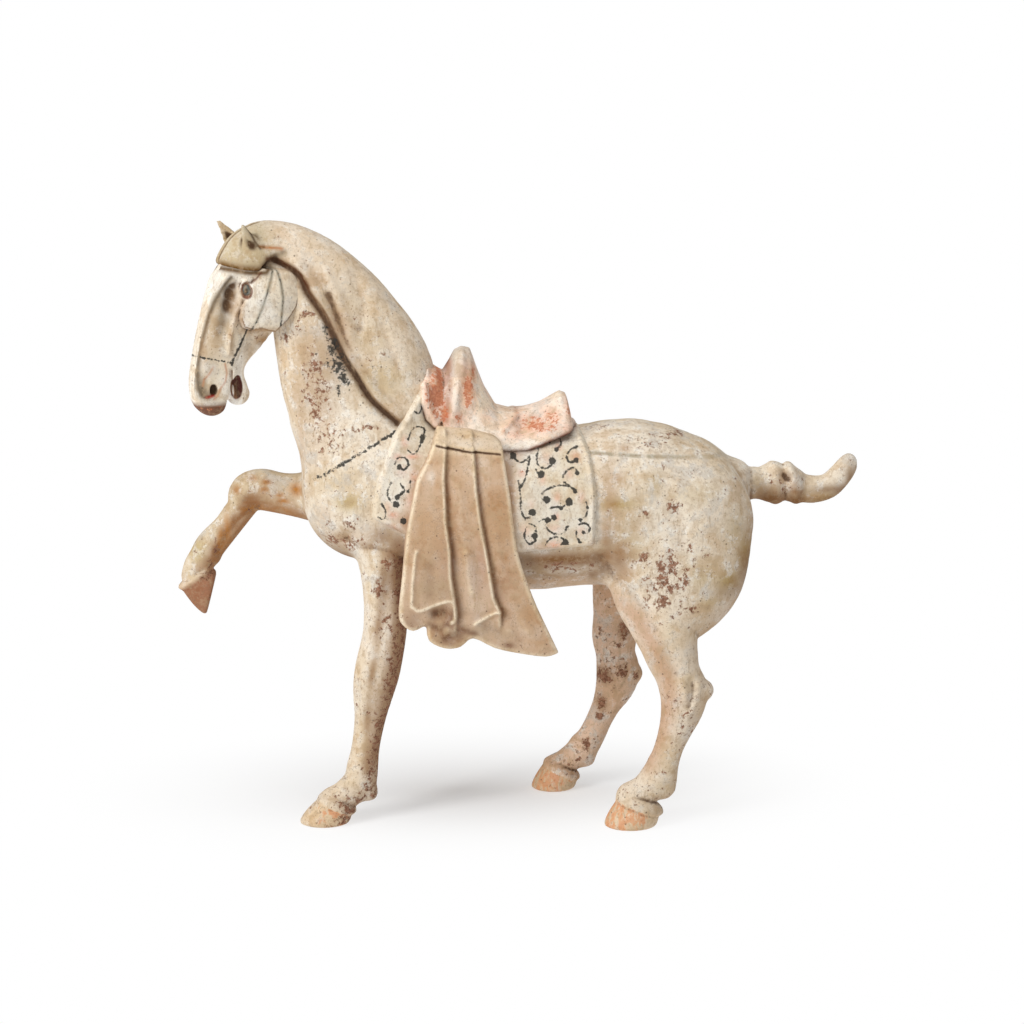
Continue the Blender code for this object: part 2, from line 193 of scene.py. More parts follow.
FAR_HIND = (
    (139, 34, 258, 52, 38),
    (125, 40, 232, 48, 34),
    (107, 45, 206, 38.5, 28),
    (94, 48, 180, 26, 22),
    (89, 50, 158, 20, 18),
    (88, 50, 140, 20, 17),
    (89, 51, 124, 17.5, 16),
    (91.5, 51, 107, 19.3, 16),
    (89, 51, 93, 17.3, 14),
    (82, 52, 77, 13, 12),
    (75, 52, 62, 11.5, 11),
    (68, 52, 47, 12, 11.5),
    (59, 52, 34, 13, 12),
    (45, 52, 24, 11, 12),
    (36, 52, 20, 10.5, 12),
)
TAIL = (
    (176, 0, 284, 27, 22),
    (188, 0, 285, 19, 16),
    (200, 0, 286, 14.5, 13),
    (210, 0, 285, 14, 13),
    (221, 0, 286, 18, 15.5),
    (232, 0, 285, 15.8, 14.5),
    (242, 0, 281.5, 12.8, 12),
    (254, 0, 279.5, 12, 11),
    (267, 0, 282, 11, 10),
    (276, 0, 290, 10.4, 9.5),
    (282.5, 0, 298.5, 9.4, 8.5),
    (284.7, 0, 303.5, 7.3, 6.5),
)
# Short rounded forms: two stations each
SPURS = (
    ((-140, -34, 36, 12, 11), (-132, -34, 25, 6.8, 8.5), (-142, -34, 25.5, 7.3, 9)),
    ((-268, 41, 222, 12, 10), (-264.5, 41, 218.5, 6, 7.5)),
    ((137, -62, 119, 17, 14), (152, -62, 118.5, 9.3, 8.5)),
    ((118, -63, 54, 12.5, 11), (119.5, -63, 34.5, 10.3, 9.5), (114, -63, 33, 9.5, 10)),
    ((92, 51, 108, 17, 14), (104.5, 51, 104.5, 9, 9)),
    ((60, 52, 38, 12, 11), (64, 52, 26.5, 7.5, 8.5), (56, 52, 27, 8, 9)),
)
# Hooves: x, y, z of the sole's middle, sole turn from flat, half length, half width, height in front, at
# the
# back, how far the toe wall leans in over the first 20 mm of its height, and the coronet roll's radius
HOOVES = (
    (-171.5, -37, 0, 0.0, 22, 19, 31, 12, 15.5, 4.4),
    (90.3, -63, 0, 0.0, 23, 20, 31, 14, 9.5, 4.6),
    (33.5, 52, 0, 0.0, 20, 18.5, 29.5, 10.5, 10.0, 3.5),
    (-266.8, 41, 186.4, 75.6, 20.8, 15, 41, 6, 11.8, 3.3),
)
SADDLE_TOP = (
    (-86, 372), (-83, 384), (-79, 391), (-74, 390.5), (-69, 388), (-66, 386.5),
    (-60, 396), (-55.5, 404.5), (-50, 407.5), (-43, 406), (-40.5, 399.5), (-36.5, 388), (-31, 374),
    (-21, 357), (-3, 352), (17, 358.5), (34, 368), (39, 366), (41.5, 356), (44, 342),
)
SADDLE_WIDTH = (
    (-86, 44), (-66, 47), (-50, 46), (-30, 49), (0, 52), (30, 52), (48, 50),
)
SADDLE_LOW = (
    (-86, 364), (-80, 352), (-73, 345), (-55, 340), (-20, 332), (-16, 325), (4, 326.5), (33, 336),
    (47, 341),
)
BLANKET = (
    (-84, 378), (-100, 352), (-109, 338), (-122, 303), (-128, 280), (-127, 270),
    (-98, 256), (-4, 243), (57, 249), (58, 295), (55, 322), (47, 345), (40, 352), (-60, 368),
)
DRAPE = (
    (-72, 345), (-80, 322), (-90, 304), (-96, 275), (-99, 258), (-102, 230), (-106, 196),
    (-104, 185), (-95, 179), (-84, 183), (-81, 170), (-68, 163.5), (-56, 164.5), (-45, 172),
    (-26, 163), (-5, 158), (16, 155), (26, 157.5), (16.5, 178), (4.5, 205), (-8.5, 245),
    (-14, 289), (-19, 324), (-20.5, 332), (-27, 337.5), (-45, 342.5),
)
DRAPE_CORNER = 17
# Side view of the saddle where it lies on the blanket
SADDLE_SIDE = (
    (-86, 380), (-85.5, 363), (-82, 351), (-75, 343.5), (-64, 340), (-45, 336.5), (-18, 325.5), (4, 326.5),
    (33, 337),
    (47, 342), (47, 362), (-60, 372),
)
GROOVE = (
    (-230, 500), (-205, 484), (-186, 472), (-179, 457), (-167, 440), (-159, 424),
    (-150, 404), (-139, 387), (-127, 368), (-106, 349), (-98, 342),
)
MANE_AREA = GROOVE + ((-60, 342), (-40, 540), (-230, 540))
CLOTH_CREASE = ((-74, 332), (-50, 327.4), (-21, 325))


def smooth_stations(stations, parts=3):
    """More stations along a Catmull-Rom curve through the given ones."""
    s = np.array(stations, float)
    if len(s) < 3:
        return s
    ends = np.vstack([2 * s[0] - s[1], s, 2 * s[-1] - s[-2]])
    t = (np.arange(parts) / parts)[:, None]
    rows = []
    for a, b, c, d in zip(ends[:-3], ends[1:-2], ends[2:-1], ends[3:]):
        rows.append(0.5 * (2 * b + (c - a) * t + (2 * a - 5 * b + 4 * c - d) * t**2
                           + (3 * b - a - 3 * c + d) * t**3))
    return np.vstack(rows + [s[-1:]])


def smooth_line(line):
    """A side-view line with more points along a smooth curve."""
    return smooth_stations([(a, 0, b) for a, b in line])[:, ::2]


DRAPE_EDGE = np.vstack([smooth_line(row) for row in (DRAPE[:DRAPE_CORNER + 1], DRAPE[DRAPE_CORNER:])])
DRAPE_EDGE = DRAPE_EDGE[np.append(np.hypot(*np.diff(DRAPE_EDGE, axis=0).T) > 0, True)]
FORELOCK = ((58, 481), (41, 477), (29, 476), (23, 483), (12, 491), (-6, 496), (-8, 540), (60, 540))
EYE = (40.2, 461.2, 22.6)
MANE_LINE = tuple(map(tuple, smooth_stations(GROOVE[1:-1], 4)))
MANE_FOLD = ((-162, 455), (-158, 445), (-154, 433), (-151, 421), (-147, 410))
# Reliefs of the body: side (-1 near, 1 far, 0 both), width, rise (negative carves), line in the side view
RELIEFS = (
    (0, 2.9, -4.4, MANE_LINE),
    (0, 3.4, 2.8, ((-188, 482), (-174, 463), (-168, 450), (-162, 437), (-155.5, 422), (-147, 405),
                   (-135, 388),
                   (-122, 371), (-104, 355))),
    (-1, 3.6, -2.0, MANE_FOLD),
    (-1, 3.0, 1.6, ((-164, 476), (-157, 462), (-152, 449), (-146, 435), (-143, 421))),
    (-1, 5.0, -1.6, ((-140, 470), (-133, 448), (-136, 428))),
    (-1, 4.0, -1.3, ((-118, 430), (-112, 412), (-106, 398))),
    (-1, 3.0, -1.2, ((-205, 489), (-196, 484), (-190, 476))),
    (1, 4.0, -1.3, ((-184, 489), (-172, 462), (-161, 440), (-152, 418))),
    (0, 4.5, 1.1, ((-183, 313), (-188, 341), (-194, 362), (-199, 389))),
    (-1, 3.2, -1.6, ((-150, 250), (-139, 243), (-128, 244), (-113, 241), (-99, 231))),
    (-1, 7.0, -2.0, ((-123, 287), (-129, 277), (-131, 269), (-137, 260), (-145, 255))),
    (-1, 5.0, 1.2, ((-124, 225), (-127, 199), (-129, 177))),
    (-1, 4.4, -1.1, ((-116, 205), (-119, 175), (-124, 145), (-128, 128))),
    (-1, 3.6, 0.9, ((-136, 112), (-137, 96))),
    (1, 3.4, -1.4, ((-251, 268), (-240, 267), (-231, 266), (-224, 265))),
    (1, 2.8, -1.5, ((-231, 262), (-241, 254), (-250, 243), (-261, 224))),
    (1, 4.0, 1.0, ((-237, 276), (-241, 270))),
    (-1, 6.5, -2.8, ((65, 235), (80, 214), (93, 200), (102, 188), (109, 176))),
    (-1, 5.0, -1.4, ((115, 165), (121, 152), (127, 138))),
    (-1, 4.5, 1.2, ((140, 259), (150, 263))),
    (-1, 5.0, 1.0, ((97, 260), (101, 261))),
    (-1, 8.0, -1.4, ((118, 300), (128, 272), (130, 250))),
    (-1, 4.0, 2.6, ((132, 129), (135, 117))),
    (-1, 3.2, -1.5, ((141, 128), (142, 120), (138, 108))),
    (-1, 3.0, 1.4, ((147, 128), (144, 113), (138, 98))),
    (1, 3.4, 1.1, ((90, 118), (93, 107))),
    (1, 2.0, -1.1, ((98, 118), (98, 106), (93, 96))),
    (1, 6.0, -1.4, ((75, 196), (84, 178), (96, 160))),
    (0, 2.4, -1.2, ((199, 270), (199, 302))),
    (0, 3.2, 1.8, ((218, 303), (221, 269))),
    (0, 3.6, 2.4, ((233, 304), (239, 267))),
    (0, 2.0, -1.8, ((227, 302), (229, 268))),
    (-1, 2.6, -3.6, ((226, 294), (230, 291))),
    (-1, 2.6, 1.8, ((220, 305), (231, 300), (240, 292), (242, 282))),
    (-1, 1.5, -0.6, ((247, 286), (262, 287), (274, 293), (281, 303))),
    (-1, 1.5, -0.5, ((247, 277), (262, 278), (276, 284), (285, 296))),
)
# Outline of the cheek disc in the face's frame
CHEEK_EDGE = ((15, 484), (4.5, 476.5), (-3, 468), (-4.5, 457), (-1.5, 446), (5.5, 435.5), (16, 426),
              (22, 427), (28, 429.5),
              (35, 428), (41.5, 430.5), (44, 437), (43, 446), (38, 456), (32, 470), (24, 480))
# Dark crease between the flat front of the face and its side
CREASE = ((51, 471), (59, 461.5), (65, 450), (69, 439), (72, 428), (75, 417), (77, 407), (79, 396),
          (79.5, 386), (79, 379), (76.5, 374))
# The groove from the corner of the lips down to the open mouth
MOUTH_LINE = ((51.2, 393), (51.6, 386), (52.2, 376), (52.4, 368))
# Reliefs of the face in its own frame, the same on both cheeks: width, rise, line of forward and up
FACE_RELIEFS = (
    (1.4, -1.0, CREASE),
    (1.9, 2.3, ((44.5, 460), (45.2, 453), (47.4, 446), (49.5, 439), (51, 430), (53, 420), (54, 408))),
    (4.2, -2.6, ((52, 463), (54, 450), (57, 438), (59, 425))),
    (1.2, -0.9, ((43, 424), (40, 417), (43, 407), (47, 399))),
    (1.3, -1.5, ((66, 373), (71, 372.5), (75, 371.5))),
    (1.3, -1.2, ((74, 387), (72.5, 385.5))),
    (2.4, 1.4, ((71, 379), (73.5, 376.5))),
    (0.9, -0.7, ((44, 465.5), (40, 468), (36, 467), (32.5, 470), (28, 475))),
)
# Saddle reliefs, the same on both sides
SADDLE_RELIEFS = (
    (4.0, 4.4, ((-50, 405), (-51, 392), (-53, 380), (-57, 367), (-60, 352))),
    (4.8, -4.6, ((-63, 393), (-67, 376), (-69, 362), (-68, 350))),
    (2.4, 3.0, ((-80, 391), (-82.5, 383), (-80, 366), (-74, 351))),
    (6.5, -3.0, ((-37, 386), (-41, 368), (-44, 352))),
    (7.0, 1.4, ((-24, 345), (-8, 338))),
    (2.4, 2.3, ((36, 372), (15, 362), (-5, 351.5), (-17, 341))),
    (4.5, -2.4, ((36, 360), (16, 350), (-1, 341))),
    (2.6, 1.2, ((36, 343), (12, 332))),
)
PANEL_A = ((345, -67), (332, -66.9), (307, -69.1), (271, -68), (246, -64.8), (224, -64.1), (206, -61.2),
           (190, -60.1))
PANEL_B = ((345, -45), (324, -43.8), (297, -42.4), (271, -39.3), (238, -33.2), (206, -28.2), (193.6, -22.8))
CLOTH_RIDGES = tuple((width, rise, smooth_line(line)) for width, rise, line in (
    (2.0, 1.6, ((-92, 246), (-93, 243), (-94.4, 233), (-96.5, 203), (-94.4, 198.7), (-88.5, 196.4),
                (-66.8, 204.3),
                (-60.5, 200.7), (-59.3, 190.4), (-62.7, 186.2))),
    (1.7, 2.0, ((-22.8, 193.6), (-28, 193.2), (-43.3, 184))),
    (5.0, 1.2, ((-57, 300), (-53.4, 258.3), (-49.9, 230.1), (-45.8, 200))),
    (4.5, 1.3, ((-51.5, 245), (-47, 212))),
    (5.5, -6.0, ((-75, 193), (-70, 193.5))),
    (6.5, 3.0, ((-66, 179), (-63, 178))),
    (6.0, -2.0, ((-80, 232), (-80, 210))),
    (5.0, -1.4, ((-33, 180), (-22, 178))),
    (7.0, 1.4, ((-14, 200), (0, 178), (12, 164))),
    (5.0, -1.0, ((-26, 230), (-14, 195), (-6, 170))),
    (5.0, 0.9, ((-27, 260), (-22, 225))),
))
BREAST_STRAP = ((-177, 300), (-168, 305), (-137, 324), (-119, 335), (-101, 345))
CRUPPER = ((57, 323), (105, 320), (150, 317), (172, 315), (184, 309))


def blend(a, b, reach):
    """Soft union of two distances that meet within the reach."""
    h = np.maximum(reach - np.abs(a - b), 0) / reach
    return np.minimum(a, b) - h * h * reach / 4


def trim(a, b, reach):
    """Soft intersection of two distances."""
    return -blend(-a, -b, reach)


def sweep(p, stations, power=2.0):
    """Distance from points to a limb with superellipse sections along its spine."""
    best = np.full(len(p), 1e3)
    s = smooth_stations(stations)
    for a, b in zip(s[:-1], s[1:]):
        ax, az = b[0] - a[0], b[2] - a[2]
        t = np.clip(((p[:, 0] - a[0]) * ax + (p[:, 2] - a[2]) * az) / (ax * ax + az * az), 0, 1)
        r = np.hypot(p[:, 0] - a[0] - t * ax, p[:, 2] - a[2] - t * az)
        v = np.abs(p[:, 1] - a[1] - t * (b[1] - a[1]))
        thick = a[3] + t * (b[3] - a[3])
        wide = a[4] + t * (b[4] - a[4])
        k = ((r / thick) ** power + (v / wide) ** power) ** (1 / power) + 1e-6
        slope = (np.hypot((r / thick) ** (power - 1) / thick, (v / wide) ** (power - 1) / wide)
                 * k ** (1 - power))
        best = np.minimum(best, np.clip((k - 1) / (slope + 1e-6), -30, 1e3))
    return best


def outline(p, corners):
    """Signed distance in the side view to a polygon, negative inside."""
    c = np.array(corners, float)
    x, z = p[:, 0], p[:, 2]
    odd = np.zeros(len(p), bool)
    for (ax, az), (bx, bz) in zip(c, np.roll(c, -1, axis=0)):
        if bz != az:
            odd ^= (z >= min(az, bz)) & (z < max(az, bz)) & (x < ax + (z - az) * (bx - ax) / (bz - az))
    near = near_line(x, z, np.vstack([c, c[:1]]))
    return np.where(odd, -near, near)


def head_frame(p):
    """Points in the head's frame: forward of the poll, across, up."""
    x, y = p[:, 0] - POLL_X, p[:, 1]
    forward = -x * np.cos(HEAD_TURN) - y * np.sin(HEAD_TURN)
    across = x * np.sin(HEAD_TURN) - y * np.cos(HEAD_TURN)
    return np.stack([forward, across, p[:, 2]], 1)


def saddle(p):
    """Saddle as a height over the back: high pommel, low seat, rolled cantle."""
    x, z = p[:, 0], p[:, 2]
    v = np.abs(p[:, 1])
    tops, widths, lows = np.array(SADDLE_TOP, float), np.array(SADDLE_WIDTH, float), np.array(SADDLE_LOW,
                                                                                              float)
    top = np.interp(x, tops[:, 0], tops[:, 1])
    wide = np.interp(x, widths[:, 0], widths[:, 1])
    share = np.clip(v / wide, 0, 1.2)
    power = np.interp(x, (-70, -52), (SADDLE_FRONT_POWER, 2.3))
    height = SADDLE_BASE + (top - SADDLE_BASE) * (1 - share**power)
    shell = (z - height) * 0.62
    ends = np.maximum(-86 - x, x - 47)
    foot = np.interp(x, lows[:, 0], lows[:, 1])
    return trim(trim(trim(shell, ends, 3), v - wide, 4), (foot - z) * 0.85, 2.5)


def grow(d, p, shape, low, high, reach):
    """Soft union of the distances with one more shape inside its box."""
    m = ((p > np.array(low) - reach - 4) & (p < np.array(high) + reach + 4)).all(axis=1)
    if m.any():
        d[m] = blend(d[m], shape(p[m]), reach)
    return d


def box_of(stations):
    """Lowest and highest corner of a limb's box."""
    s = np.array(stations, float)
    wide = np.maximum(s[:, 3], s[:, 4])[:, None]
    return (s[:, :3] - wide).min(axis=0), (s[:, :3] + wide).max(axis=0)


def add_limb(d, p, stations, reach, power=2.0):
    """Soft union of the distances with a limb."""
    low, high = box_of(stations)
    return grow(d, p, lambda q: sweep(q, stations, power), low, high, reach)


def near_line(x, z, line):
    """Distance in the side view to an open polyline."""
    best = np.full(len(x), 1e9)
    for (ax, az), (bx, bz) in zip(line[:-1], line[1:]):
        ex, ez = bx - ax, bz - az
        t = np.clip(((x - ax) * ex + (z - az) * ez) / (ex * ex + ez * ez), 0, 1)
        best = np.minimum(best, np.hypot(x - ax - t * ex, z - az - t * ez))
    return best


def stroke(x, z, line, width, power=2):
    """How far each point lies on a soft-edged line of the side view, 1 at its middle."""
    return np.exp(-(near_line(x, z, line) / width) ** power)


def relief(d, x, z, rows, gate=1.0):
    """Raises or carves a bell-shaped track along each line."""
    for width, rise, line in rows:
        c = np.array(line, float)
        low, high = c.min(axis=0) - 2.6 * width, c.max(axis=0) + 2.6 * width
        m = (x > low[0]) & (x < high[0]) & (z > low[1]) & (z < high[1])
        if m.any():
            part = gate if np.isscalar(gate) else gate[m]
            d[m] -= rise * part * stroke(x[m], z[m], line, width)
    return d


def hoof_frame(p, x, z, turn, half_length, front, back):
    """Points seen from a hoof: towards its toe, up from its sole, and up from its sloping coronet."""
    c, s = np.cos(np.radians(turn)), np.sin(np.radians(turn))
    dx, dz = p[:, 0] - x, p[:, 2] - z
    toe = -dx * c - dz * s
    up = dz * c - dx * s
    return toe, up, up - (front + back) / 2 - (front - back) / (2 * half_length) * (toe + 4)


def hoof(p, x, y, z, turn, half_length, half_width, front, back, lean, roll_size):
    """Hoof wall as a leaning oval cone between the sole and a sloping coronet, with a roll round the coronet."""
    toe, up, top = hoof_frame(p, x, z, turn, half_length, front, back)
    lean_in = lean * (np.clip(up, 0, 60) / 20) ** 1.5
    heel_out = HEEL_BULGE * np.sin(np.pi * np.clip(up / 20, 0, 1))
    mid = -(lean_in + heel_out) / 2
    long = np.maximum(half_length + (heel_out - lean_in) / 2, 4)
    wide = np.maximum(half_width - 0.35 * lean_in + 0.4 * heel_out, 4)
    k = np.hypot((toe - mid) / long, (p[:, 1] - y) / wide) + 1e-6
    wall = (k - 1) * np.minimum(long, wide)
    roll = np.hypot(wall + 1.4, top * 0.9 + 0.2) - roll_size
    return blend(trim(trim(wall + 0.5, top * 0.9, 3), -up, 2.4), roll, 1.2)


def ear(q, f, across, base, tip_f, tip_across):
    """Pricked ear: a cone from the poll to its tip, hollowed from the front."""
    outer = sweep(q, ((f, across, base, 8.5, 6.0), (tip_f, tip_across, 514, 2.0, 1.8)))
    lean = 4.0 if across > 0 else 2.0
    inner = sweep(q, ((f + 4, across + 1.5 * lean, base + 4, 5.6, 4.4),
                      (tip_f + 1.5, tip_across + 0.8 * lean, 511, 1.1, 1.1)))
    return trim(outer, -inner, 1.0)


def crown(p):
    """Forelock plate over the skull, parted down the front, with the two ears."""
    q = head_frame(p)
    plate = sweep(q, SKULL, 2.3) - 1.4
    plate = trim(plate, outline(q, FORELOCK), 2.0)
    front = np.clip((q[:, 0] - 18) / 10, 0, 1)
    plate += 2.0 * np.exp(-(q[:, 1] / 1.4) ** 2) * front
    plate += 0.9 * stroke(q[:, 0], q[:, 2], ((26, 496), (9, 494)), 1.2)
    plate = blend(plate, ear(q, 31, 17, 492, 41.5, 20), 2.5)
    return blend(plate, ear(q, 35, -17, 494, 49, -20), 2.5)


def face(p):
    """Face below the forelock: flat front, cheek discs, eyes, nostrils and the open mouth."""
    q = head_frame(p)
    f, z = q[:, 0], q[:, 2]
    side = np.abs(q[:, 1])
    d = blend(sweep(q, SKULL, 2.3) + 1.5, sweep(q, FACE, 2.8), 5)
    hollow = (np.sqrt((f - 53.0 - 0.28 * (457 - z)) ** 2 + (side - 28.5) ** 2 + (0.62 * (z - 457)) ** 2)
              - 12.5)
    d = trim(d, -hollow, 4)
    cheek = outline(q, CHEEK_EDGE)
    d = blend(d, trim(side - 30.2 + 0.012 * ((f - 18) ** 2 + (z - 454) ** 2) ** 0.9, cheek - 1.5, 1.2), 1.5)
    d = blend(d, sweep(q, JAW, 2.4), 2.5)
    d = relief(d, f, z, FACE_RELIEFS, np.clip((side - 4) / 4, 0, 1))
    below = MOUTH_TOP - z
    gap = np.maximum(np.abs(f - 52.2) - 2.3 - 0.1 * below, -below)
    d = trim(d, -np.where(z > 350, gap, 9.0), 1.5)
    groove = np.hypot(near_line(f, z, MOUTH_LINE), np.clip(11.5 - side, 0, 99)) - 1.5
    d = trim(d, -groove, 1.0)
    cup = np.sqrt(((f - 45.0) / 6.2) ** 2 + ((side - 10) / 7.4) ** 2 + ((z - 377.3) / 11.2) ** 2) - 1
    d = trim(d, -cup * 5, 1.0)
    tongue = np.sqrt(((f - 48.3) / 2.4) ** 2 + ((side - 2.5) / 5.0) ** 2 + ((z - 374) / 7.2) ** 2) - 1
    d = blend(d, tongue * 2.4, 0.8)
    nostril = np.sqrt(((f - 67.2) / 3.6) ** 2 + ((side - 14) / 6.0) ** 2 + ((z - 377.4) / 4.9) ** 2) - 1
    d = trim(d, -nostril * 3, 0.8)
    f0, z0, out = EYE
    lids = np.hypot((np.hypot((f - f0) / 4.6, (z - z0) / 6.6) - 1) * 5.4, side - out) - 1.4
    ball = np.sqrt(((f - f0) / 4.2) ** 2 + ((side - out + 2.4) / 4.8) ** 2 + ((z - z0) / 6.0) ** 2) - 1
    d = blend(blend(d, lids, 1.5), ball * 4.6, 0.4)
    return trim(d, z - 481.5 + 0.12 * (54 - f), 3.0)


def body(p):
    """Distance to the horse without its face, saddle and cloths."""
    d = np.full(len(p), 1e3)
    d = add_limb(d, p, TORSO, 1, 2.2)
    d = add_limb(d, p, NECK, 18, 2.2)
    mane_side = -outline(p, MANE_AREA)
    low, high = box_of(MANE)
    m = ((p > low - 12) & (p < high + 12)).all(axis=1)
    rise = MANE_RISE * np.clip(mane_side[m] / 3, -0.6, 1)
    lift = np.clip((p[m, 2] - 340) / 12, 0, 1)
    d[m] = blend(d[m], sweep(p[m], MANE, 2.5), 6) - rise * lift
    d = grow(d, p, crown, (-262, -50, 455), (-170, 50, 530), 5)
    d = add_limb(d, p, NEAR_FORE, 8)
    d = add_limb(d, p, RAISED_FORE, 14)
    d = add_limb(d, p, NEAR_HIND, 12)
    d = add_limb(d, p, FAR_HIND, 12)
    d = add_limb(d, p, TAIL, 6)
    for spur in SPURS:
        d = add_limb(d, p, spur, 2.5)
    for shape in HOOVES:
        x, y, z, r = shape[0], shape[1], shape[2], 40
        d = grow(d, p, lambda q: hoof(q, *shape), (x - r, y - r, z - r), (x + r, y + r, z + r), 1.5)
    for side in (-1, 0, 1):
        rows = [row[1:] for row in RELIEFS if row[0] == side]
        gate = np.clip((p[:, 1] * side - 3) / 8, 0, 1) if side else 1.0
        d = relief(d, p[:, 0], p[:, 2], rows, gate)
    return d


def saddle_shape(p):
    """Saddle with the crest of its pommel, its front flange and the roll of its cantle."""
    v = np.abs(p[:, 1])
    flap = outline(p, SADDLE_SIDE)
    skin = body(p)
    d = blend(saddle(p), trim(trim(skin - SADDLE_RISE, flap, 2.5), -4 - skin, 1), 3)
    return relief(d, p[:, 0], p[:, 2], SADDLE_RELIEFS, np.clip((v - 8) / 14, 0, 1))


def blanket(p, side):
    """Saddle blanket lying on the horse's side, with a raised rim."""
    m = p[:, 1] * side > 0
    d = np.full(len(p), 1e3)
    q = p[m]
    edge = outline(q, BLANKET)
    skin = body(q)
    rise = BLANKET_RISE * np.clip(0.5 - edge / EDGE_WIDTH, 0, 1) + 0.8 * np.exp(-((edge + 3) / 1.6) ** 2)
    shell = trim(skin - rise, -3 - skin, 1)
    d[m] = trim(shell, edge - 1, 0.6)
    return d


def folds(x, z):
    """How far the hanging cloth stands out of its plain hang: two pleats that drop sharply behind their ridges."""
    a = np.interp(z, *np.array(PANEL_A[::-1]).T)
    b = np.interp(z, *np.array(PANEL_B[::-1]).T)
    left = np.interp(z, (163, 185, 196, 230, 275, 304, 322, 345), (-95, -104, -106, -102, -96, -90, -80,
                                                                   -72))
    right = np.interp(z, (157, 178, 205, 245, 289, 345), (26, 16.5, 4.5, -8.5, -14, -22))
    big = np.interp(z, (170, 320), (1.0, 0.62))
    low = np.clip((z - 178) / 14, 0, 1)
    one = (x - left) / (a - left)
    two = (x - a) / (b - a)
    three = (x - b) / (right - b)
    h = -0.6 + 3.4 * np.clip(one, 0, 1) ** 2.2
    middle = -4.2 + 6.8 * np.clip(two, 0, 1) ** 1.5
    last = -4.2 + 3.8 * np.clip(three, 0, 1) ** 0.7
    drop_a, drop_b = (np.clip((x - edge) / 2.6, 0, 1) for edge in (a, b))
    h = h + (middle - h) * drop_a**2 * (3 - 2 * drop_a)
    h = h + (last - h) * drop_b**2 * (3 - 2 * drop_b)
    return h * big * low


def cloth(p, side):
    """Gathered cloth hanging over the blanket on one side."""
    x, z = p[:, 0], p[:, 2]
    v = p[:, 1] * side
    q = p.copy()
    if side > 0:
        q[:, 0] += FAR_CLOTH_IN * np.clip((x + 50) / 60, 0, 1)
    edge = outline(q, DRAPE_EDGE) - 1
    out = 80 - 30 * np.clip((z - 235) / 112, 0, 1) ** 2.9
    out = out - 6 * np.clip((-60 - x) / 45, 0, 1) ** 2 * np.clip((z - 200) / 60, 0, 1)
    amount = 1.0 if side < 0 else 0.55
    h = amount * folds(x, z)
    h = -relief(-h, x, z, CLOTH_RIDGES, amount)
    band = near_line(x, z, ((-70, 337), (-45, 333.5), (-22, 329)))
    h = h * np.clip(band / 6, 0.2, 1) + 1.2 * np.clip((7 - band) / 3, 0, 1)
    crease = near_line(x, z, CLOTH_CREASE)
    h = h - 1.9 * np.exp(-(crease / 1.1) ** 2)
    thick = np.interp(z, (150, 215, 260, 300), (4.5, 6, 16, 30))
    slab = np.maximum((v - out - h) * 0.75, np.maximum(out - 2 * thick, 20) - v)
    return trim(slab, edge, 3.4)


def sample(field, low, high, step, block=4):
    """Field values on a fine grid, worked out only in blocks near the surface."""
    n = np.ceil((high - low) / (step * block)).astype(int)
    grid = np.stack(np.meshgrid(*[np.arange(k) for k in n], indexing="ij"), -1).reshape(-1, 3)
    mid = low + (grid * block + (block - 1) / 2) * step
    with ThreadPoolExecutor(4) as pool:
        rough = np.concatenate(list(pool.map(field, np.array_split(mid, max(1, len(mid) // 60000)))))
    values = np.where(rough < 0, -1e3, 1e3).reshape(n)
    for axis in range(3):
        values = np.repeat(values, block, axis=axis)
    near = grid[np.abs(rough) < 1.6 * block * step]
    inner = np.stack(np.meshgrid(*[np.arange(block)] * 3, indexing="ij"), -1).reshape(-1, 3)
    cells = [(part[:, None] * block + inner).reshape(-1, 3) for part in np.array_split(near,
                                                                                       max(1, len(near) // 1500))]
    with ThreadPoolExecutor(4) as pool:
        found = pool.map(lambda cell: field(low + cell * step), cells)
        for cell, value in zip(cells, found):
            values[cell[:, 0], cell[:, 1], cell[:, 2]] = value
    return values


def unpinch(values):
    """Fills grid squares whose corners are inside only across a diagonal, where the surface would touch itself."""
    for _ in range(20):
        inside = values < 0
        found = 0
        for i, j in ((0, 1), (1, 2), (0, 2)):
            n = values.shape
            a, b, c, d = (
                tuple(slice(u[k], n[k] - 1 + u[k]) if k in (i, j) else slice(None) for k in range(3))
                for u in (
                    [0, 0, 0],
                    [int(k == i) for k in range(3)],
                    [int(k == j) for k in range(3)],
                    [int(k in (i, j)) for k in range(3)],
                )
            )
            first = inside[a] & inside[d] & ~inside[b] & ~inside[c]
            second = inside[b] & inside[c] & ~inside[a] & ~inside[d]
            found += first.sum() + second.sum()
            values[b][first] = PINCH_FILL
            values[a][second] = PINCH_FILL
        if not found:
            break
    return values


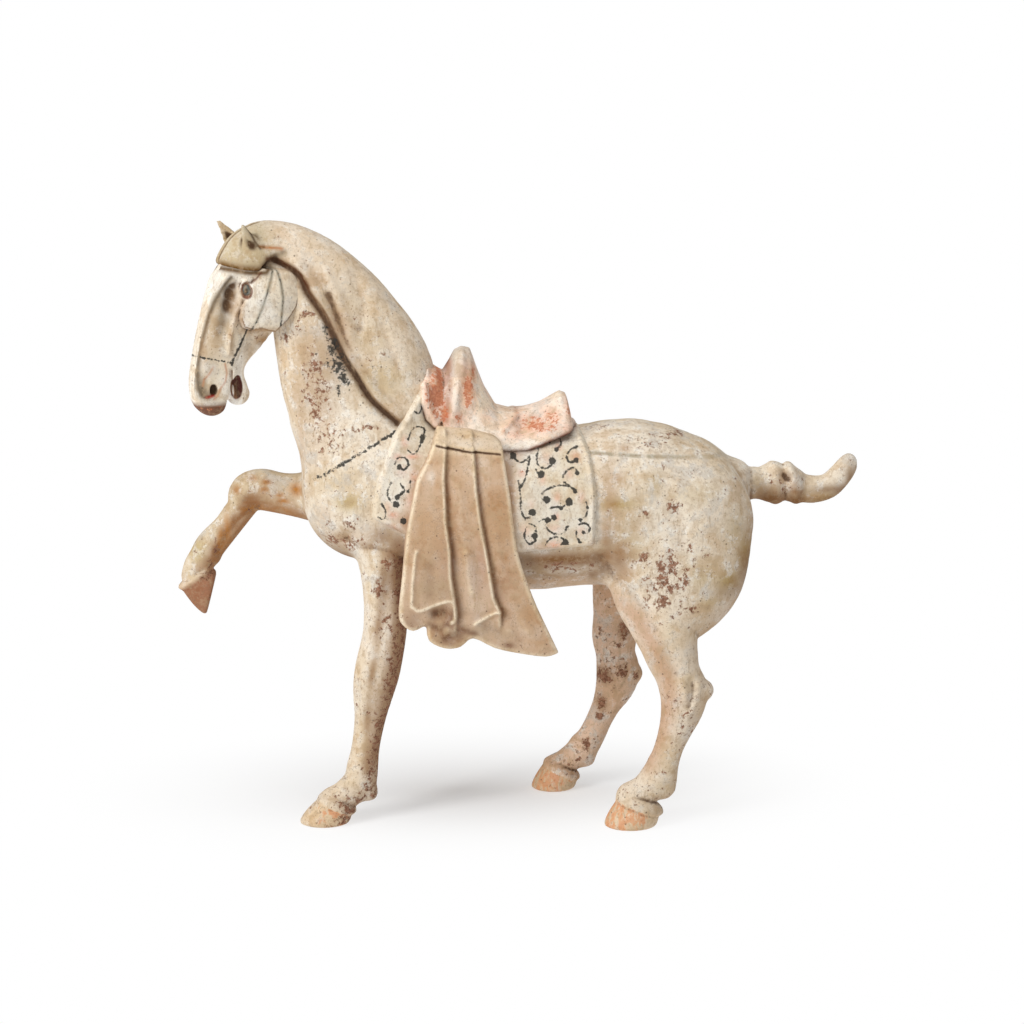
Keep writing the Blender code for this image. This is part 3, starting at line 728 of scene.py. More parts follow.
def net(values, low, step):
    """Closed quads through the zero level of a grid, one corner per mixed cell."""
    inside = values < 0
    n = np.array(values.shape) - 1
    count = np.zeros(n, np.int8)
    corners = [(i, j, k) for i in (0, 1) for j in (0, 1) for k in (0, 1)]
    for i, j, k in corners:
        count += inside[i:n[0] + i, j:n[1] + j, k:n[2] + k]
    cell = np.argwhere((count > 0) & (count < 8))
    number = np.full(n, -1)
    number[tuple(cell.T)] = np.arange(len(cell))
    total, weight = np.zeros((len(cell), 3)), np.zeros(len(cell))
    for a in corners:
        for axis in range(3):
            if a[axis]:
                continue
            b = list(a)
            b[axis] = 1
            fa, fb = values[tuple((cell + a).T)], values[tuple((cell + b).T)]
            hit = (fa < 0) != (fb < 0)
            t = np.where(hit, fa / np.where(hit, fa - fb, 1), 0)
            spot = np.array(a) + t[:, None] * np.eye(3)[axis]
            total[hit] += spot[hit]
            weight += hit
    points = low + (cell + total / weight[:, None]) * step
    quads = []
    for axis in range(3):
        j, k = (axis + 1) % 3, (axis + 2) % 3
        first = np.take(inside, range(inside.shape[axis] - 1), axis)
        second = np.take(inside, range(1, inside.shape[axis]), axis)
        edge = np.argwhere(first != second)
        out = first[tuple(edge.T)]
        ring = []
        for dj, dk in ((-1, -1), (0, -1), (0, 0), (-1, 0)):
            at = edge.copy()
            at[:, j] += dj
            at[:, k] += dk
            ring.append(number[tuple(at.T)])
        ring = np.stack(ring, 1)
        quads.append(np.where(out[:, None], ring, ring[:, ::-1]))
    return points, np.vstack(quads)


def relax(values, edges, count, rounds, share=1.0):
    """Moves each value towards the mean of its neighbours, so many rounds."""
    a, b = edges.T
    ties = np.bincount(a, minlength=count) + np.bincount(b, minlength=count)
    values = values.copy()
    for _ in range(rounds):
        for k in range(values.shape[1]):
            v = values[:, k]
            total = np.bincount(a, v[b], count) + np.bincount(b, v[a], count)
            values[:, k] = v + share * (total / np.maximum(ties, 1) - v)
    return values


def edges_of(quads):
    """Each pair of joined points once."""
    ends = np.concatenate([quads[:, [i, (i + 1) % 4]] for i in range(4)])
    return np.unique(np.sort(ends, axis=1), axis=0)


def normals_of(points, quads):
    """Unit outward direction at each point, from the faces round it."""
    a = points[quads[:, 2]] - points[quads[:, 0]]
    b = points[quads[:, 3]] - points[quads[:, 1]]
    face = np.cross(a, b)
    total = np.stack([sum(np.bincount(quads[:, i], face[:, k],
                                      len(points)) for i in range(4)) for k in range(3)], 1)
    return total / (np.linalg.norm(total, axis=1)[:, None] + 1e-12)


def clay_piece(name, field, low, high, step, paint):
    """One closed skin on the zero level of a distance field: quads through the mixed cells of a fine grid,
    relaxed two rounds, with its paint worked out at each point and kept as attributes."""
    low, high = np.array(low, float), np.array(high, float)
    points, quads = net(unpinch(sample(field, low, high, step)), low, step)
    edges = edges_of(quads)
    points = relax(points, edges, len(points), 2, 0.5)
    points[:, 2] = np.maximum(points[:, 2], 0)
    normals = normals_of(points, quads)
    fine = ((relax(points, edges, len(points), 3) - points) * normals).sum(axis=1)
    wide = ((relax(points, edges, len(points), max(4, int(round((4.5 / step) ** 2)))) - points)
            * normals).sum(axis=1)
    mesh = bpy.data.meshes.new(name)
    mesh.vertices.add(len(points))
    mesh.vertices.foreach_set("co", ((points + np.array(MIDDLE_SHIFT)) * MM).astype(np.float32).ravel())
    mesh.loops.add(4 * len(quads))
    mesh.loops.foreach_set("vertex_index", quads.astype(np.int32).ravel())
    mesh.polygons.add(len(quads))
    mesh.polygons.foreach_set("loop_start", np.arange(0, 4 * len(quads), 4, dtype=np.int32))
    mesh.polygons.foreach_set("use_smooth", np.ones(len(quads), bool))
    mesh.update(calc_edges=True)
    coat, marks = paint(points, normals, fine, wide)
    layer = mesh.attributes.new("coat", "FLOAT_COLOR", "POINT")
    layer.data.foreach_set("color", np.hstack([coat, np.ones((len(coat), 1))]).astype(np.float32).ravel())
    for key, value in marks.items():
        mesh.attributes.new(key, "FLOAT", "POINT").data.foreach_set("value", value.astype(np.float32))
    piece = bpy.data.objects.new(name, mesh)
    bpy.context.scene.collection.objects.link(piece)
    piece.data.materials.append(CLAY)
    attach(piece, "root")
    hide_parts("horse")


def linear(*colour):
    """Screen colour to the linear values that the shader takes."""
    return np.array([c / 12.92 if c < 0.04045 else ((c + 0.055) / 1.055) ** 2.4 for c in colour])


def spots(x, z, rows, spread=1.0):
    """Strongest of the soft oval spots at each point: x, z, half width, half height, strength."""
    best = np.zeros(len(x))
    for cx, cz, rx, rz, strength in rows:
        far = ((x - cx) / rx) ** 2 + ((z - cz) / rz) ** 2
        best = np.maximum(best, strength * np.exp(-far / spread**2))
    return best


def tint(coat, share, colour):
    """Moves the coat towards a colour by a share."""
    return coat + (colour - coat) * np.clip(share, 0, 1)[:, None]


def marks_of(count, dirt_and_shade, bare=BARE_CLAY, ink=NO_INK, red=0.0, orange=0.0, pale=0.0):
    """The paint's marks by name, with single values spread over all points."""
    rows = {"dirt_and_shade": dirt_and_shade, "bare": bare, "ink": ink, "red": red, "orange": orange, "pale": pale}
    return {key: np.full(count, value, float) for key, value in rows.items()}


def crevice_dirt_and_shade(fine, wide):
    """Dirt that settles where the surface is hollow, together with painted shade in the hollows."""
    return np.clip(fine / 0.28, 0, 1) * 0.5 + np.clip((wide - 0.25) / 1.6, 0, 1) * 0.7


CREAM = linear(0.90, 0.85, 0.775)
OLIVE = linear(0.74, 0.65, 0.45)
OCHRE = linear(0.70, 0.47, 0.22)
TAN = linear(0.70, 0.56, 0.42)
BROWN = linear(0.47, 0.31, 0.19)
UMBER = linear(0.52, 0.37, 0.23)
ROSE = linear(0.87, 0.74, 0.64)
GREY = linear(0.50, 0.47, 0.42)
# Soft oval patches in the side view: x, z, half width, half height, strength
BARE_NEAR = (
    (99, 237, 5, 6, 0.9), (113, 230, 4, 10, 1.0), (123, 234, 4, 10, 1.0), (134, 246, 6, 7, 0.8),
    (115, 218, 8, 7, 1.0), (123, 212, 6, 5, 1.0), (135, 216, 4, 5, 0.9), (115, 200, 8, 8, 1.0),
    (102, 209, 4, 10, 0.9), (141, 192, 7, 4, 1.0), (150, 238, 5, 6, 0.8), (133, 190, 4, 5, 0.6),
    (122, 280, 9, 7, 0.9), (100, 273, 5, 5, 0.85), (128, 255, 5, 14, 0.65), (154, 273, 4, 4, 0.5),
    (125, 295, 3, 5, 0.7), (117, 309, 3, 6, 0.7), (130, 333, 16, 3, 0.85), (62, 343, 12, 5, 0.85),
    (184, 276, 3, 5, 0.7), (146, 258, 4, 4, 0.5), (78, 262, 5, 6, 0.4),
    (-198, 418, 6, 5, 0.75), (-185, 435, 7, 4, 0.8), (-178, 439, 6, 4, 0.9), (-175, 398, 4, 5, 0.95),
    (-188, 426, 4, 7, 0.7), (-162, 420, 4, 8, 0.6), (-166, 375, 6, 6, 0.9), (-174, 358, 8, 5, 0.9),
    (-160, 356, 8, 4, 0.6), (-170, 333, 6, 5, 0.8), (-168, 325, 4, 6, 0.85), (-184, 357, 4, 6, 0.6),
    (-129, 345, 9, 2.6, 0.9), (-139, 343, 5, 2.2, 0.85), (-106, 444, 5, 6, 0.5), (-131, 405, 5, 3, 0.6),
    (-123, 386, 10, 4, 0.5), (-150, 452, 8, 6, 0.5), (-169, 478, 10, 5, 0.5), (-185, 484, 10, 4, 0.5),
    (-155, 270, 8, 5, 0.6), (-148, 262, 8, 6, 0.7), (-165, 262, 6, 6, 0.5), (-158, 248, 14, 5, 0.85),
    (-150, 242, 8, 4, 0.8), (-117, 230, 5, 6, 1.0), (-123, 207, 3.5, 8, 0.95), (-115, 181, 4, 8, 0.85),
    (-109, 193, 3, 10, 0.6), (-112, 173, 3, 8, 0.6), (-118, 127, 6, 4, 0.85), (-128, 110, 5, 6, 0.5),
    (-132, 72, 3, 8, 0.7), (-136, 49, 5, 7, 0.75), (-136, 40, 4, 5, 0.7), (-145, 62, 3, 8, 0.5),
    (136, 102, 6, 5, 0.85), (134, 92, 3, 6, 0.7), (138, 122, 4, 3, 0.7), (117, 69, 3, 6, 0.4),
    (115, 50, 5, 4, 0.6), (123, 34, 4, 4, 0.7), (30, 229, 34, 7, 0.8), (10, 214, 30, 5, 0.5),
    (60, 225, 6, 8, 0.5), (-104, 246, 6, 8, 0.6),
)
# Wide worn areas of the near side with many small flakes
WORN = (
    (120, 222, 36, 46, 0.55), (-174, 375, 18, 60, 0.60), (-160, 335, 22, 20, 0.50),
    (110, 330, 60, 14, 0.42),
    (-152, 250, 34, 14, 0.55), (22, 226, 50, 12, 0.50), (-150, 440, 40, 26, 0.42), (120, 110, 20, 60, 0.36),
    (-120, 180, 14, 50, 0.42), (222, 285, 22, 20, 0.45), (120, 275, 40, 26, 0.40),
)
# Bare clay of the far legs
BARE_FAR = (
    (94, 148, 6, 9, 0.95), (90, 135, 5, 4, 0.9), (84, 172, 12, 12, 0.55), (74, 146, 3, 10, 0.7),
    (78, 106, 8, 9, 1.0), (93, 110, 7, 9, 0.95), (107, 105, 4, 5, 0.9), (76, 80, 5, 9, 1.0),
    (74, 68, 4, 6, 0.9), (62, 42, 5, 7, 0.95), (56, 29, 4, 4, 0.8), (47, 25, 6, 4, 0.8),
    (86, 92, 4, 8, 0.7),
    (-228, 263, 9, 4, 0.75), (-246, 247, 5, 8, 0.6), (-262, 226, 4, 7, 0.8), (-268, 214, 5, 6, 0.9),
    (-270, 204, 9, 5, 0.9),
)
# Olive stains, and painted shade at the buttock's lower rear
OLIVE_NEAR = (
    (-148, 283, 11, 8, 0.9), (-160, 300, 20, 10, 0.3), (76, 283, 16, 5, 0.9), (108, 299, 8, 8, 0.5),
    (188, 238, 8, 15, 1.0), (172, 214, 12, 10, 1.0), (90, 250, 12, 22, 0.4), (118, 165, 9, 20, 0.6),
    (134, 130, 8, 9, 0.7), (117, 69, 8, 16, 0.7), (118, 36, 10, 8, 0.6), (156, 197, 10, 6, 0.8),
    (150, 220, 14, 14, 0.5), (144, 290, 26, 10, 0.35), (-150, 40, 10, 10, 0.4), (-118, 385, 22, 18, 0.5),
    (-130, 420, 20, 20, 0.35), (-150, 445, 20, 20, 0.3), (-128, 135, 5, 8, 0.7), (-135, 90, 9, 40, 0.3),
    (205, 284, 8, 14, 0.5), (262, 272, 26, 6, 0.9), (-100, 300, 8, 20, 0.4), (178, 260, 10, 16, 0.5),
)
# Tan stains, and painted shade on the neck's side, the rear of the near fore leg and the flank beside the blanket
TAN_NEAR = (
    (85, 326, 5, 3, 0.8), (75, 304, 8, 8, 0.7), (67, 258, 5, 18, 0.9), (70, 237, 8, 12, 0.9),
    (84, 222, 8, 12, 0.7), (70, 268, 8, 40, 0.5),
    (-180, 400, 12, 34, 0.5), (-172, 350, 14, 22, 0.35), (-190, 372, 6, 26, 0.45), (-109, 210, 6, 24, 0.9),
    (-107, 160, 6, 20, 0.9), (-115, 128, 6, 16, 0.6), (-122, 96, 5, 18, 0.6), (-126, 66, 4, 14, 0.5),
    (-150, 250, 14, 8, 0.5), (-168, 268, 6, 12, 0.4), (-153, 430, 8, 18, 0.5), (-176, 468, 8, 8, 0.5),
    (216, 276, 9, 8, 1.0), (206, 279, 6, 9, 0.8), (236, 280, 5, 10, 0.9), (252, 274, 12, 4, 0.7),
    (226, 290, 6, 6, 0.5), (277, 300, 6, 6, 0.25), (70, 285, 8, 40, 0.6), (80, 240, 10, 14, 0.9),
    (-186, 345, 5, 50, 0.5), (-176, 330, 12, 30, 0.3), (92, 262, 10, 12, 0.35),
)
# Dark brown stains, and painted shade under the blanket's hem and front corner, in the armpit and at the buttock's
# lower rear
UMBER_NEAR = (
    (-158, 402, 15, 24, 0.7), (-168, 372, 12, 16, 0.45), (-150, 430, 5, 14, 0.4), (188, 224, 6, 14, 0.6),
    (174, 205, 14, 5, 0.6), (72, 226, 6, 10, 0.6), (28, 235, 40, 7, 1.35),
    (-120, 254, 12, 8, 0.95), (-106, 246, 8, 12, 1.0), (-98, 262, 6, 12, 0.9), (-128, 246, 10, 4, 0.7),
    (-104, 226, 6, 10, 0.9), (78, 231, 7, 10, 0.8), (70, 248, 5, 8, 0.5), (12, 231, 20, 6, 1.0),
    (38, 234, 16, 5, 1.0), (57, 233, 5, 6, 0.8),
    (58, 219, 5, 5, 0.8), (20, 219, 34, 3, 0.4), (213, 272, 8, 4, 1.0), (238, 270, 6, 4, 1.0),
    (270, 281, 16, 3.5, 1.0), (285, 292, 3, 9, 1.0), (66, 224, 4, 8, 0.7),
)
# Stains of the far legs and the raised leg
OLIVE_FAR = ((-278, 226, 10, 16, 0.9), (-284, 205, 8, 10, 0.7), (-215, 285, 16, 8, 0.3),
             (88, 170, 12, 20, 0.2))
OCHRE_FAR = (
    (-217, 287, 5, 3, 1.0), (-219, 281, 4, 3, 0.9), (-192, 281, 6, 6, 1.0), (-206, 276, 4, 2.5, 0.9),
    (-203, 271, 5, 2.5, 1.0), (-229, 290, 5, 3, 0.7), (-243, 280, 4, 4, 0.7), (-204, 262, 12, 4, 0.5),
    (-228, 263, 12, 3, 0.8), (-252, 246, 3.5, 14, 0.8), (-258, 236, 3, 12, 0.8), (-200, 254, 10, 8, 0.4),
)
UMBER_FAR = (
    (-231, 273, 9, 5, 0.7), (-237, 264, 7, 3, 1.0), (-246, 252, 4, 8, 0.9), (-256, 240, 3, 10, 0.7),
    (-262, 226, 4, 6, 0.9), (-267, 217, 5, 4, 0.9), (78, 106, 8, 8, 0.7), (76, 80, 5, 9, 0.7),
    (94, 148, 6, 9, 0.6),
)
# Black smears beside the mane
SMEAR = (
    (-165, 424, 3.5, 10, 0.9), (-159, 411, 6.5, 11, 0.95), (-154, 398, 8, 11, 0.95),
    (-150, 388, 6, 10, 0.95),
    (-163, 398, 6, 8, 0.75), (-155, 376, 3.5, 9, 0.85), (-146, 382, 3.5, 10, 0.8), (-172, 405, 5, 8, 0.6),
    (-124, 226, 3, 4, 0.5),
    (-129, 271, 5, 5, 0.55), (-118, 256, 6, 3, 0.5), (-132, 406, 5, 5, 0.45), (-126, 395, 6, 4, 0.5),
    (-112, 400, 3, 8, 0.4), (-150, 442, 4, 6, 0.4),
)
# Gaps of the crupper strap: x and share missing
STRAP_GAPS = ((74, 0), (76, 1), (78, 1), (80, 0), (98, 0), (99.5, 1), (102, 1), (103.5, 0))
# Lines of painted shade along the valley at the front of the near hind leg, and of the brown streaks down the middle
# of the near fore leg
LEG_BAND = ((66, 215), (90, 190), (105, 166), (119, 134), (122, 114), (114, 80), (104, 57))
FORE_BAND = ((-118, 239), (-119, 211), (-126, 160), (-129, 136), (-133, 102), (-135, 70), (-134, 45))


def hoof_share(p):
    """How far each point lies on a hoof's wall below its coronet roll."""
    best = np.zeros(len(p))
    for x, y, z, turn, half_length, half_width, front, back, _, _ in HOOVES:
        toe, up, top = hoof_frame(p, x, z, turn, half_length, front, back)
        close = (np.abs(toe) < half_length + 8) & (np.abs(p[:, 1] - y) < half_width + 6) & (up > -4)
        best = np.maximum(best, np.where(close, np.clip((-2.5 - top) / 2.0, 0, 1), 0))
    return best


def body_paint(p, n, fine, wide):
    """Cream slip with olive and brown stains, bare clay, orange hooves, rosy far legs and the dark painted straps,
    with painted shade on undersides, rear sides, hollows and grooves, under the forelock and in the ears, and painted
    light on the lower belly.
    """
    x, y, z = p.T
    near = np.clip(-y / 10 + np.where(x > 192, 1.5, 0.5), 0, 1)
    far = 1 - near
    coat = np.tile(CREAM, (len(p), 1))
    mane = np.clip(-outline(p, MANE_AREA) / 4, 0, 1) * (z > 338)
    coat = tint(coat, 0.4 * mane, linear(0.86, 0.78, 0.69))
    coat = tint(coat, np.maximum(spots(x, z, OLIVE_NEAR) * near + spots(x, z, OLIVE_FAR) * far, 0.3 * far),
                OLIVE)
    far_leg = np.clip((y - 4) / 10, 0, 1) * np.clip((222 - z) / 36, 0, 1)
    coat = tint(coat, (0.85 * (x > 0) + 0.5 * (x < 0)) * far_leg, ROSE)
    # Tan stains, with painted shade on the neck's side, the fore leg's rear and the flank
    coat = tint(coat, spots(x, z, TAN_NEAR) * near, TAN)
    # Painted shade: rear-facing surfaces below the back turn tan, and undersides and lower rear sides turn brown,
    # less on the far side
    coat = tint(coat, 0.35 * np.clip(n[:, 0], 0, 1) * (z < 300), TAN)
    coat = tint(coat, np.clip((0.6 * n[:, 0] - 0.8 * n[:, 2] - 0.3) * 1.3, 0, 0.85)
                * np.clip((40 - y) / 24, 0.3, 1), BROWN)
    # Painted light: the lower belly is lifted from the painted underside shade to a lighter tan, as if lit from the
    # floor
    under = (np.clip((70 - np.abs(x + 5)) / 12, 0, 1) * np.clip((z - 185) / 4, 0, 1)
             * np.clip((222 - z) / 8, 0, 1))
    coat = tint(coat, 0.8 * under, linear(0.80, 0.68, 0.56))
    # Dark brown stains, with painted shade under the blanket, in the armpit and at the buttock
    coat = tint(coat, 0.75 * spots(x, z, UMBER_NEAR, 1.25) * near + spots(x, z, UMBER_FAR) * (y > 8), UMBER)
    # Painted shade: broad hollows turn brown
    coat = tint(coat, 0.6 * np.clip((wide - 0.05) / 0.6, 0, 1), linear(0.58, 0.42, 0.27))
    legs = np.clip((215 - z) / 25, 0, 1) * near
    coat = tint(coat, 0.5 * legs, linear(0.90, 0.83, 0.74))
    # Painted shade in a broad band along the valley at the front of the near hind leg
    inner = stroke(x, z, LEG_BAND, 9) * legs
    coat = tint(coat, 0.75 * inner, linear(0.76, 0.60, 0.48))
    streaks = stroke(x, z, FORE_BAND, 3.6) * near * (0.65 + 0.35 * np.sin(z / 6.5))
    coat = tint(coat, 0.75 * streaks, linear(0.58, 0.42, 0.25))
    # Painted shade: the downward-facing underside of the chest turns brown
    breast = (np.clip((-n[:, 2] - 0.30) * 1.7, 0, 1) * np.clip((-78 - x) / 16, 0, 1) * (z > 205)
              * np.clip((44 - y) / 24, 0.3, 1))
    coat = tint(coat, 0.85 * breast, linear(0.52, 0.37, 0.21))
    # Painted shade on the rear-facing side of the near fore leg, weaker towards the hoof; this side also gets more
    # bare clay below
    rear = np.clip((n[:, 0] + 0.25) / 0.8, 0, 1) * np.clip((256 - z) / 14, 0, 1) * (x < -80) * (y < 0)
    coat = tint(coat, 0.85 * rear * np.clip((z - 30) / 30, 0.35, 1), linear(0.60, 0.44, 0.30))
    # The raised leg's brown, made stronger on its underside and rear as painted shade
    arm = np.clip((y - 4) / 8, 0, 1) * np.clip((-140 - x) / 24, 0, 1) * np.clip((z - 180) / 6, 0, 1)
    coat = tint(coat, arm * np.clip(0.7 * n[:, 0] - 0.8 * n[:, 2] + 0.35, 0, 0.85),
                linear(0.62, 0.42, 0.25))
    coat = tint(coat, spots(x, z, OCHRE_FAR) * far, OCHRE)
    # The tail's knot in brown, made stronger on its underside as painted shade
    knot = np.clip((x - 203) / 8, 0, 1) * np.clip((252 - x) / 10, 0, 1) * np.clip(-n[:, 2] + 0.3, 0, 1)
    coat = tint(coat, 0.8 * knot, linear(0.50, 0.34, 0.18))
    hoof_mark = hoof_share(p)
    coat = tint(coat, 0.85 * hoof_mark, linear(0.88, 0.79, 0.67))
    raised = hoof_mark * (z > 120)
    coat = tint(coat, 0.9 * raised, linear(0.58, 0.37, 0.26))
    q = head_frame(p)
    side = np.abs(q[:, 1])
    crown_mark = np.clip((3 - outline(q, FORELOCK)) / 4, 0, 1) * (z > 474) * np.clip((q[:, 0] - 8) / 16, 0,
                                                                                     1)
    coat = tint(coat, 0.75 * crown_mark, linear(0.72, 0.66, 0.53))
    parting = np.exp(-(q[:, 1] / 1.6) ** 2) * crown_mark * (q[:, 0] > 20) * (n[:, 0] < 0.2)
    coat = tint(coat, 0.95 * parting, linear(0.40, 0.28, 0.13))
    # Painted shadow: a dark brown band under the forelock plate's lower edge, and a grey band of painted shade from
    # there up to the cheek's top
    lower = stroke(q[:, 0], z, ((56, 481), (41, 478), (29, 477), (23, 480)), 3.6)
    coat = tint(coat, lower * (side > 3), linear(0.44, 0.31, 0.13))
    band = stroke(q[:, 0], z, ((23, 481), (8, 491)), 3.0) * (side > 12)
    coat = tint(coat, 0.8 * band, GREY)
    ochre = stroke(q[:, 0], z, ((27, 496), (9, 494)), 1.3) * (side > 10) * (q[:, 1] > 0)
    coat = tint(coat, 0.9 * ochre, linear(0.70, 0.44, 0.22))
    # Ears: the far ear tan, both hollows darkened as painted shade, and painted shade in the near ear's hollow and
    # along its edge
    tip = stroke(q[:, 0], z, ((37.5, 513), (33.6, 505.5), (31.1, 500), (27.2, 495)), 1.3) * (q[:, 1] > 0)
    pit = np.clip(1.5 - np.hypot((q[:, 0] - 32.8) / 3.2, (z - 497.3) / 3.6), 0, 1) * (q[:, 1] > 0)
    ears = (z > 493) & (side > 9) & (q[:, 0] > 22) & (q[:, 0] < 56)
    coat = tint(coat, 0.45 * ears * (q[:, 1] < 0), linear(0.76, 0.62, 0.42))
    coat = tint(coat, ears * np.clip(wide * 2.2 + 0.1, 0, 0.95), linear(0.30, 0.21, 0.12))
    coat = tint(coat, np.maximum(0.9 * tip, 0.95 * pit) * (z > 490), linear(0.27, 0.18, 0.10))
    # The mane groove: painted shade, near black along its core and brown at its sides, with brown in the fold beside
    # it and dark at its start by the ear
    line = near_line(x, z, MANE_LINE)
    deep = (np.exp(-(line / np.interp(z, (349, 380, 420, 440, 470), (1.7, 2.6, 2.8, 3.2, 2.4))) ** 4)
            * (np.abs(y) > 8))
    shade = np.stack([np.interp(z, (349, 375, 405, 440, 480), row) for row in zip(*[
        linear(0.34, 0.25, 0.18), linear(0.26, 0.19, 0.15), linear(0.24, 0.18, 0.14),
        linear(0.42, 0.31, 0.22),
        linear(0.36, 0.19, 0.11)])], 1)
    coat = tint(coat, 0.85 * np.exp(-(line / 4.0) ** 2) * near * (z < 470), linear(0.47, 0.33, 0.19))
    fold = stroke(x, z, MANE_FOLD, 3.0) * np.clip((480 - z) / 12, 0, 1) * np.clip((z - 405) / 15, 0, 1)
    coat = tint(coat, 0.45 * fold * near, linear(0.60, 0.47, 0.31))
    coat = coat + (shade - coat) * np.clip(0.97 * deep, 0, 1)[:, None]
    start = stroke(x, z, ((-212, 486), (-205, 484), (-192, 477), (-184, 470), (-180, 462)), 2.6) * near
    coat = tint(coat, 0.9 * start, linear(0.36, 0.20, 0.11))
    dirt_and_shade = np.clip(crevice_dirt_and_shade(fine, wide), 0, 1)
    bare = 0.78 * spots(x, z, BARE_NEAR, 1.35) * near + 0.85 * spots(x, z, BARE_FAR, 1.25) * (y > 8)
    bare = np.maximum(bare, spots(x, z, WORN) * near)
    bare = np.maximum(bare, 0.34 * far_leg)
    bare = np.maximum(bare, 0.30 * hoof_mark)
    bare = np.maximum(bare, 0.45 * rear + 0.2 * (rear > 0.1))
    bare = np.maximum(bare, 0.27 + 0.08 * (z < 130)) * (1 - 0.5 * crown_mark)
    ink = 2.6 - 2.2 * spots(x, z, SMEAR, 1.25) * near
    strap = np.where(y < 0, near_line(x, z, BREAST_STRAP) / np.interp(x, (-177, -160, -120, -101),
                                                                      (2.4, 1.9, 1.3, 1.3)), 9.0)
    ink = np.minimum(ink, strap + np.interp(x, (-177, -165, -140, -118), (0.7, 0.35, 0.35, -0.1)))
    girth = stroke(x, z, CRUPPER, 1.5, 4) * (y < 0) * np.interp(x, (57, 120, 140, 184), (1, 0.9, 0.5, 0.3))
    gaps = np.interp(x, *zip(*STRAP_GAPS))
    coat = tint(coat, 0.75 * girth * (1 - 0.8 * gaps), linear(0.55, 0.51, 0.41))
    orange = hoof_mark * np.interp(x, (-200, -160), (0.6, 1.0)) * (1 - 0.2 * np.clip(n[:, 0], 0, 1))
    pale = (np.clip((coat[:, 1] - 0.22) / 0.3, 0, 1) * (1 - 0.4 * mane) * (1 - 0.5 * legs)
            * (1 - 0.5 * crown_mark))
    return coat, marks_of(len(p), dirt_and_shade=dirt_and_shade, bare=bare, ink=ink, red=0.5 * raised, orange=orange, pale=pale)


# The bridle and nose band on the face's side: forward and up from the poll
BRIDLE = (((16, 483), (19.5, 472), (24, 459), (28.5, 446), (33, 434), (37.5, 426), (44, 413), (48.5, 404.5),
           (51.5, 397.5)),
          ((15.5, 481), (12, 467), (10.3, 454), (11.2, 440), (11.6, 430)))
NOSE_BAND = ((86, 406), (80.5, 405.8), (72.5, 404.4), (61.5, 402), (52.5, 400))


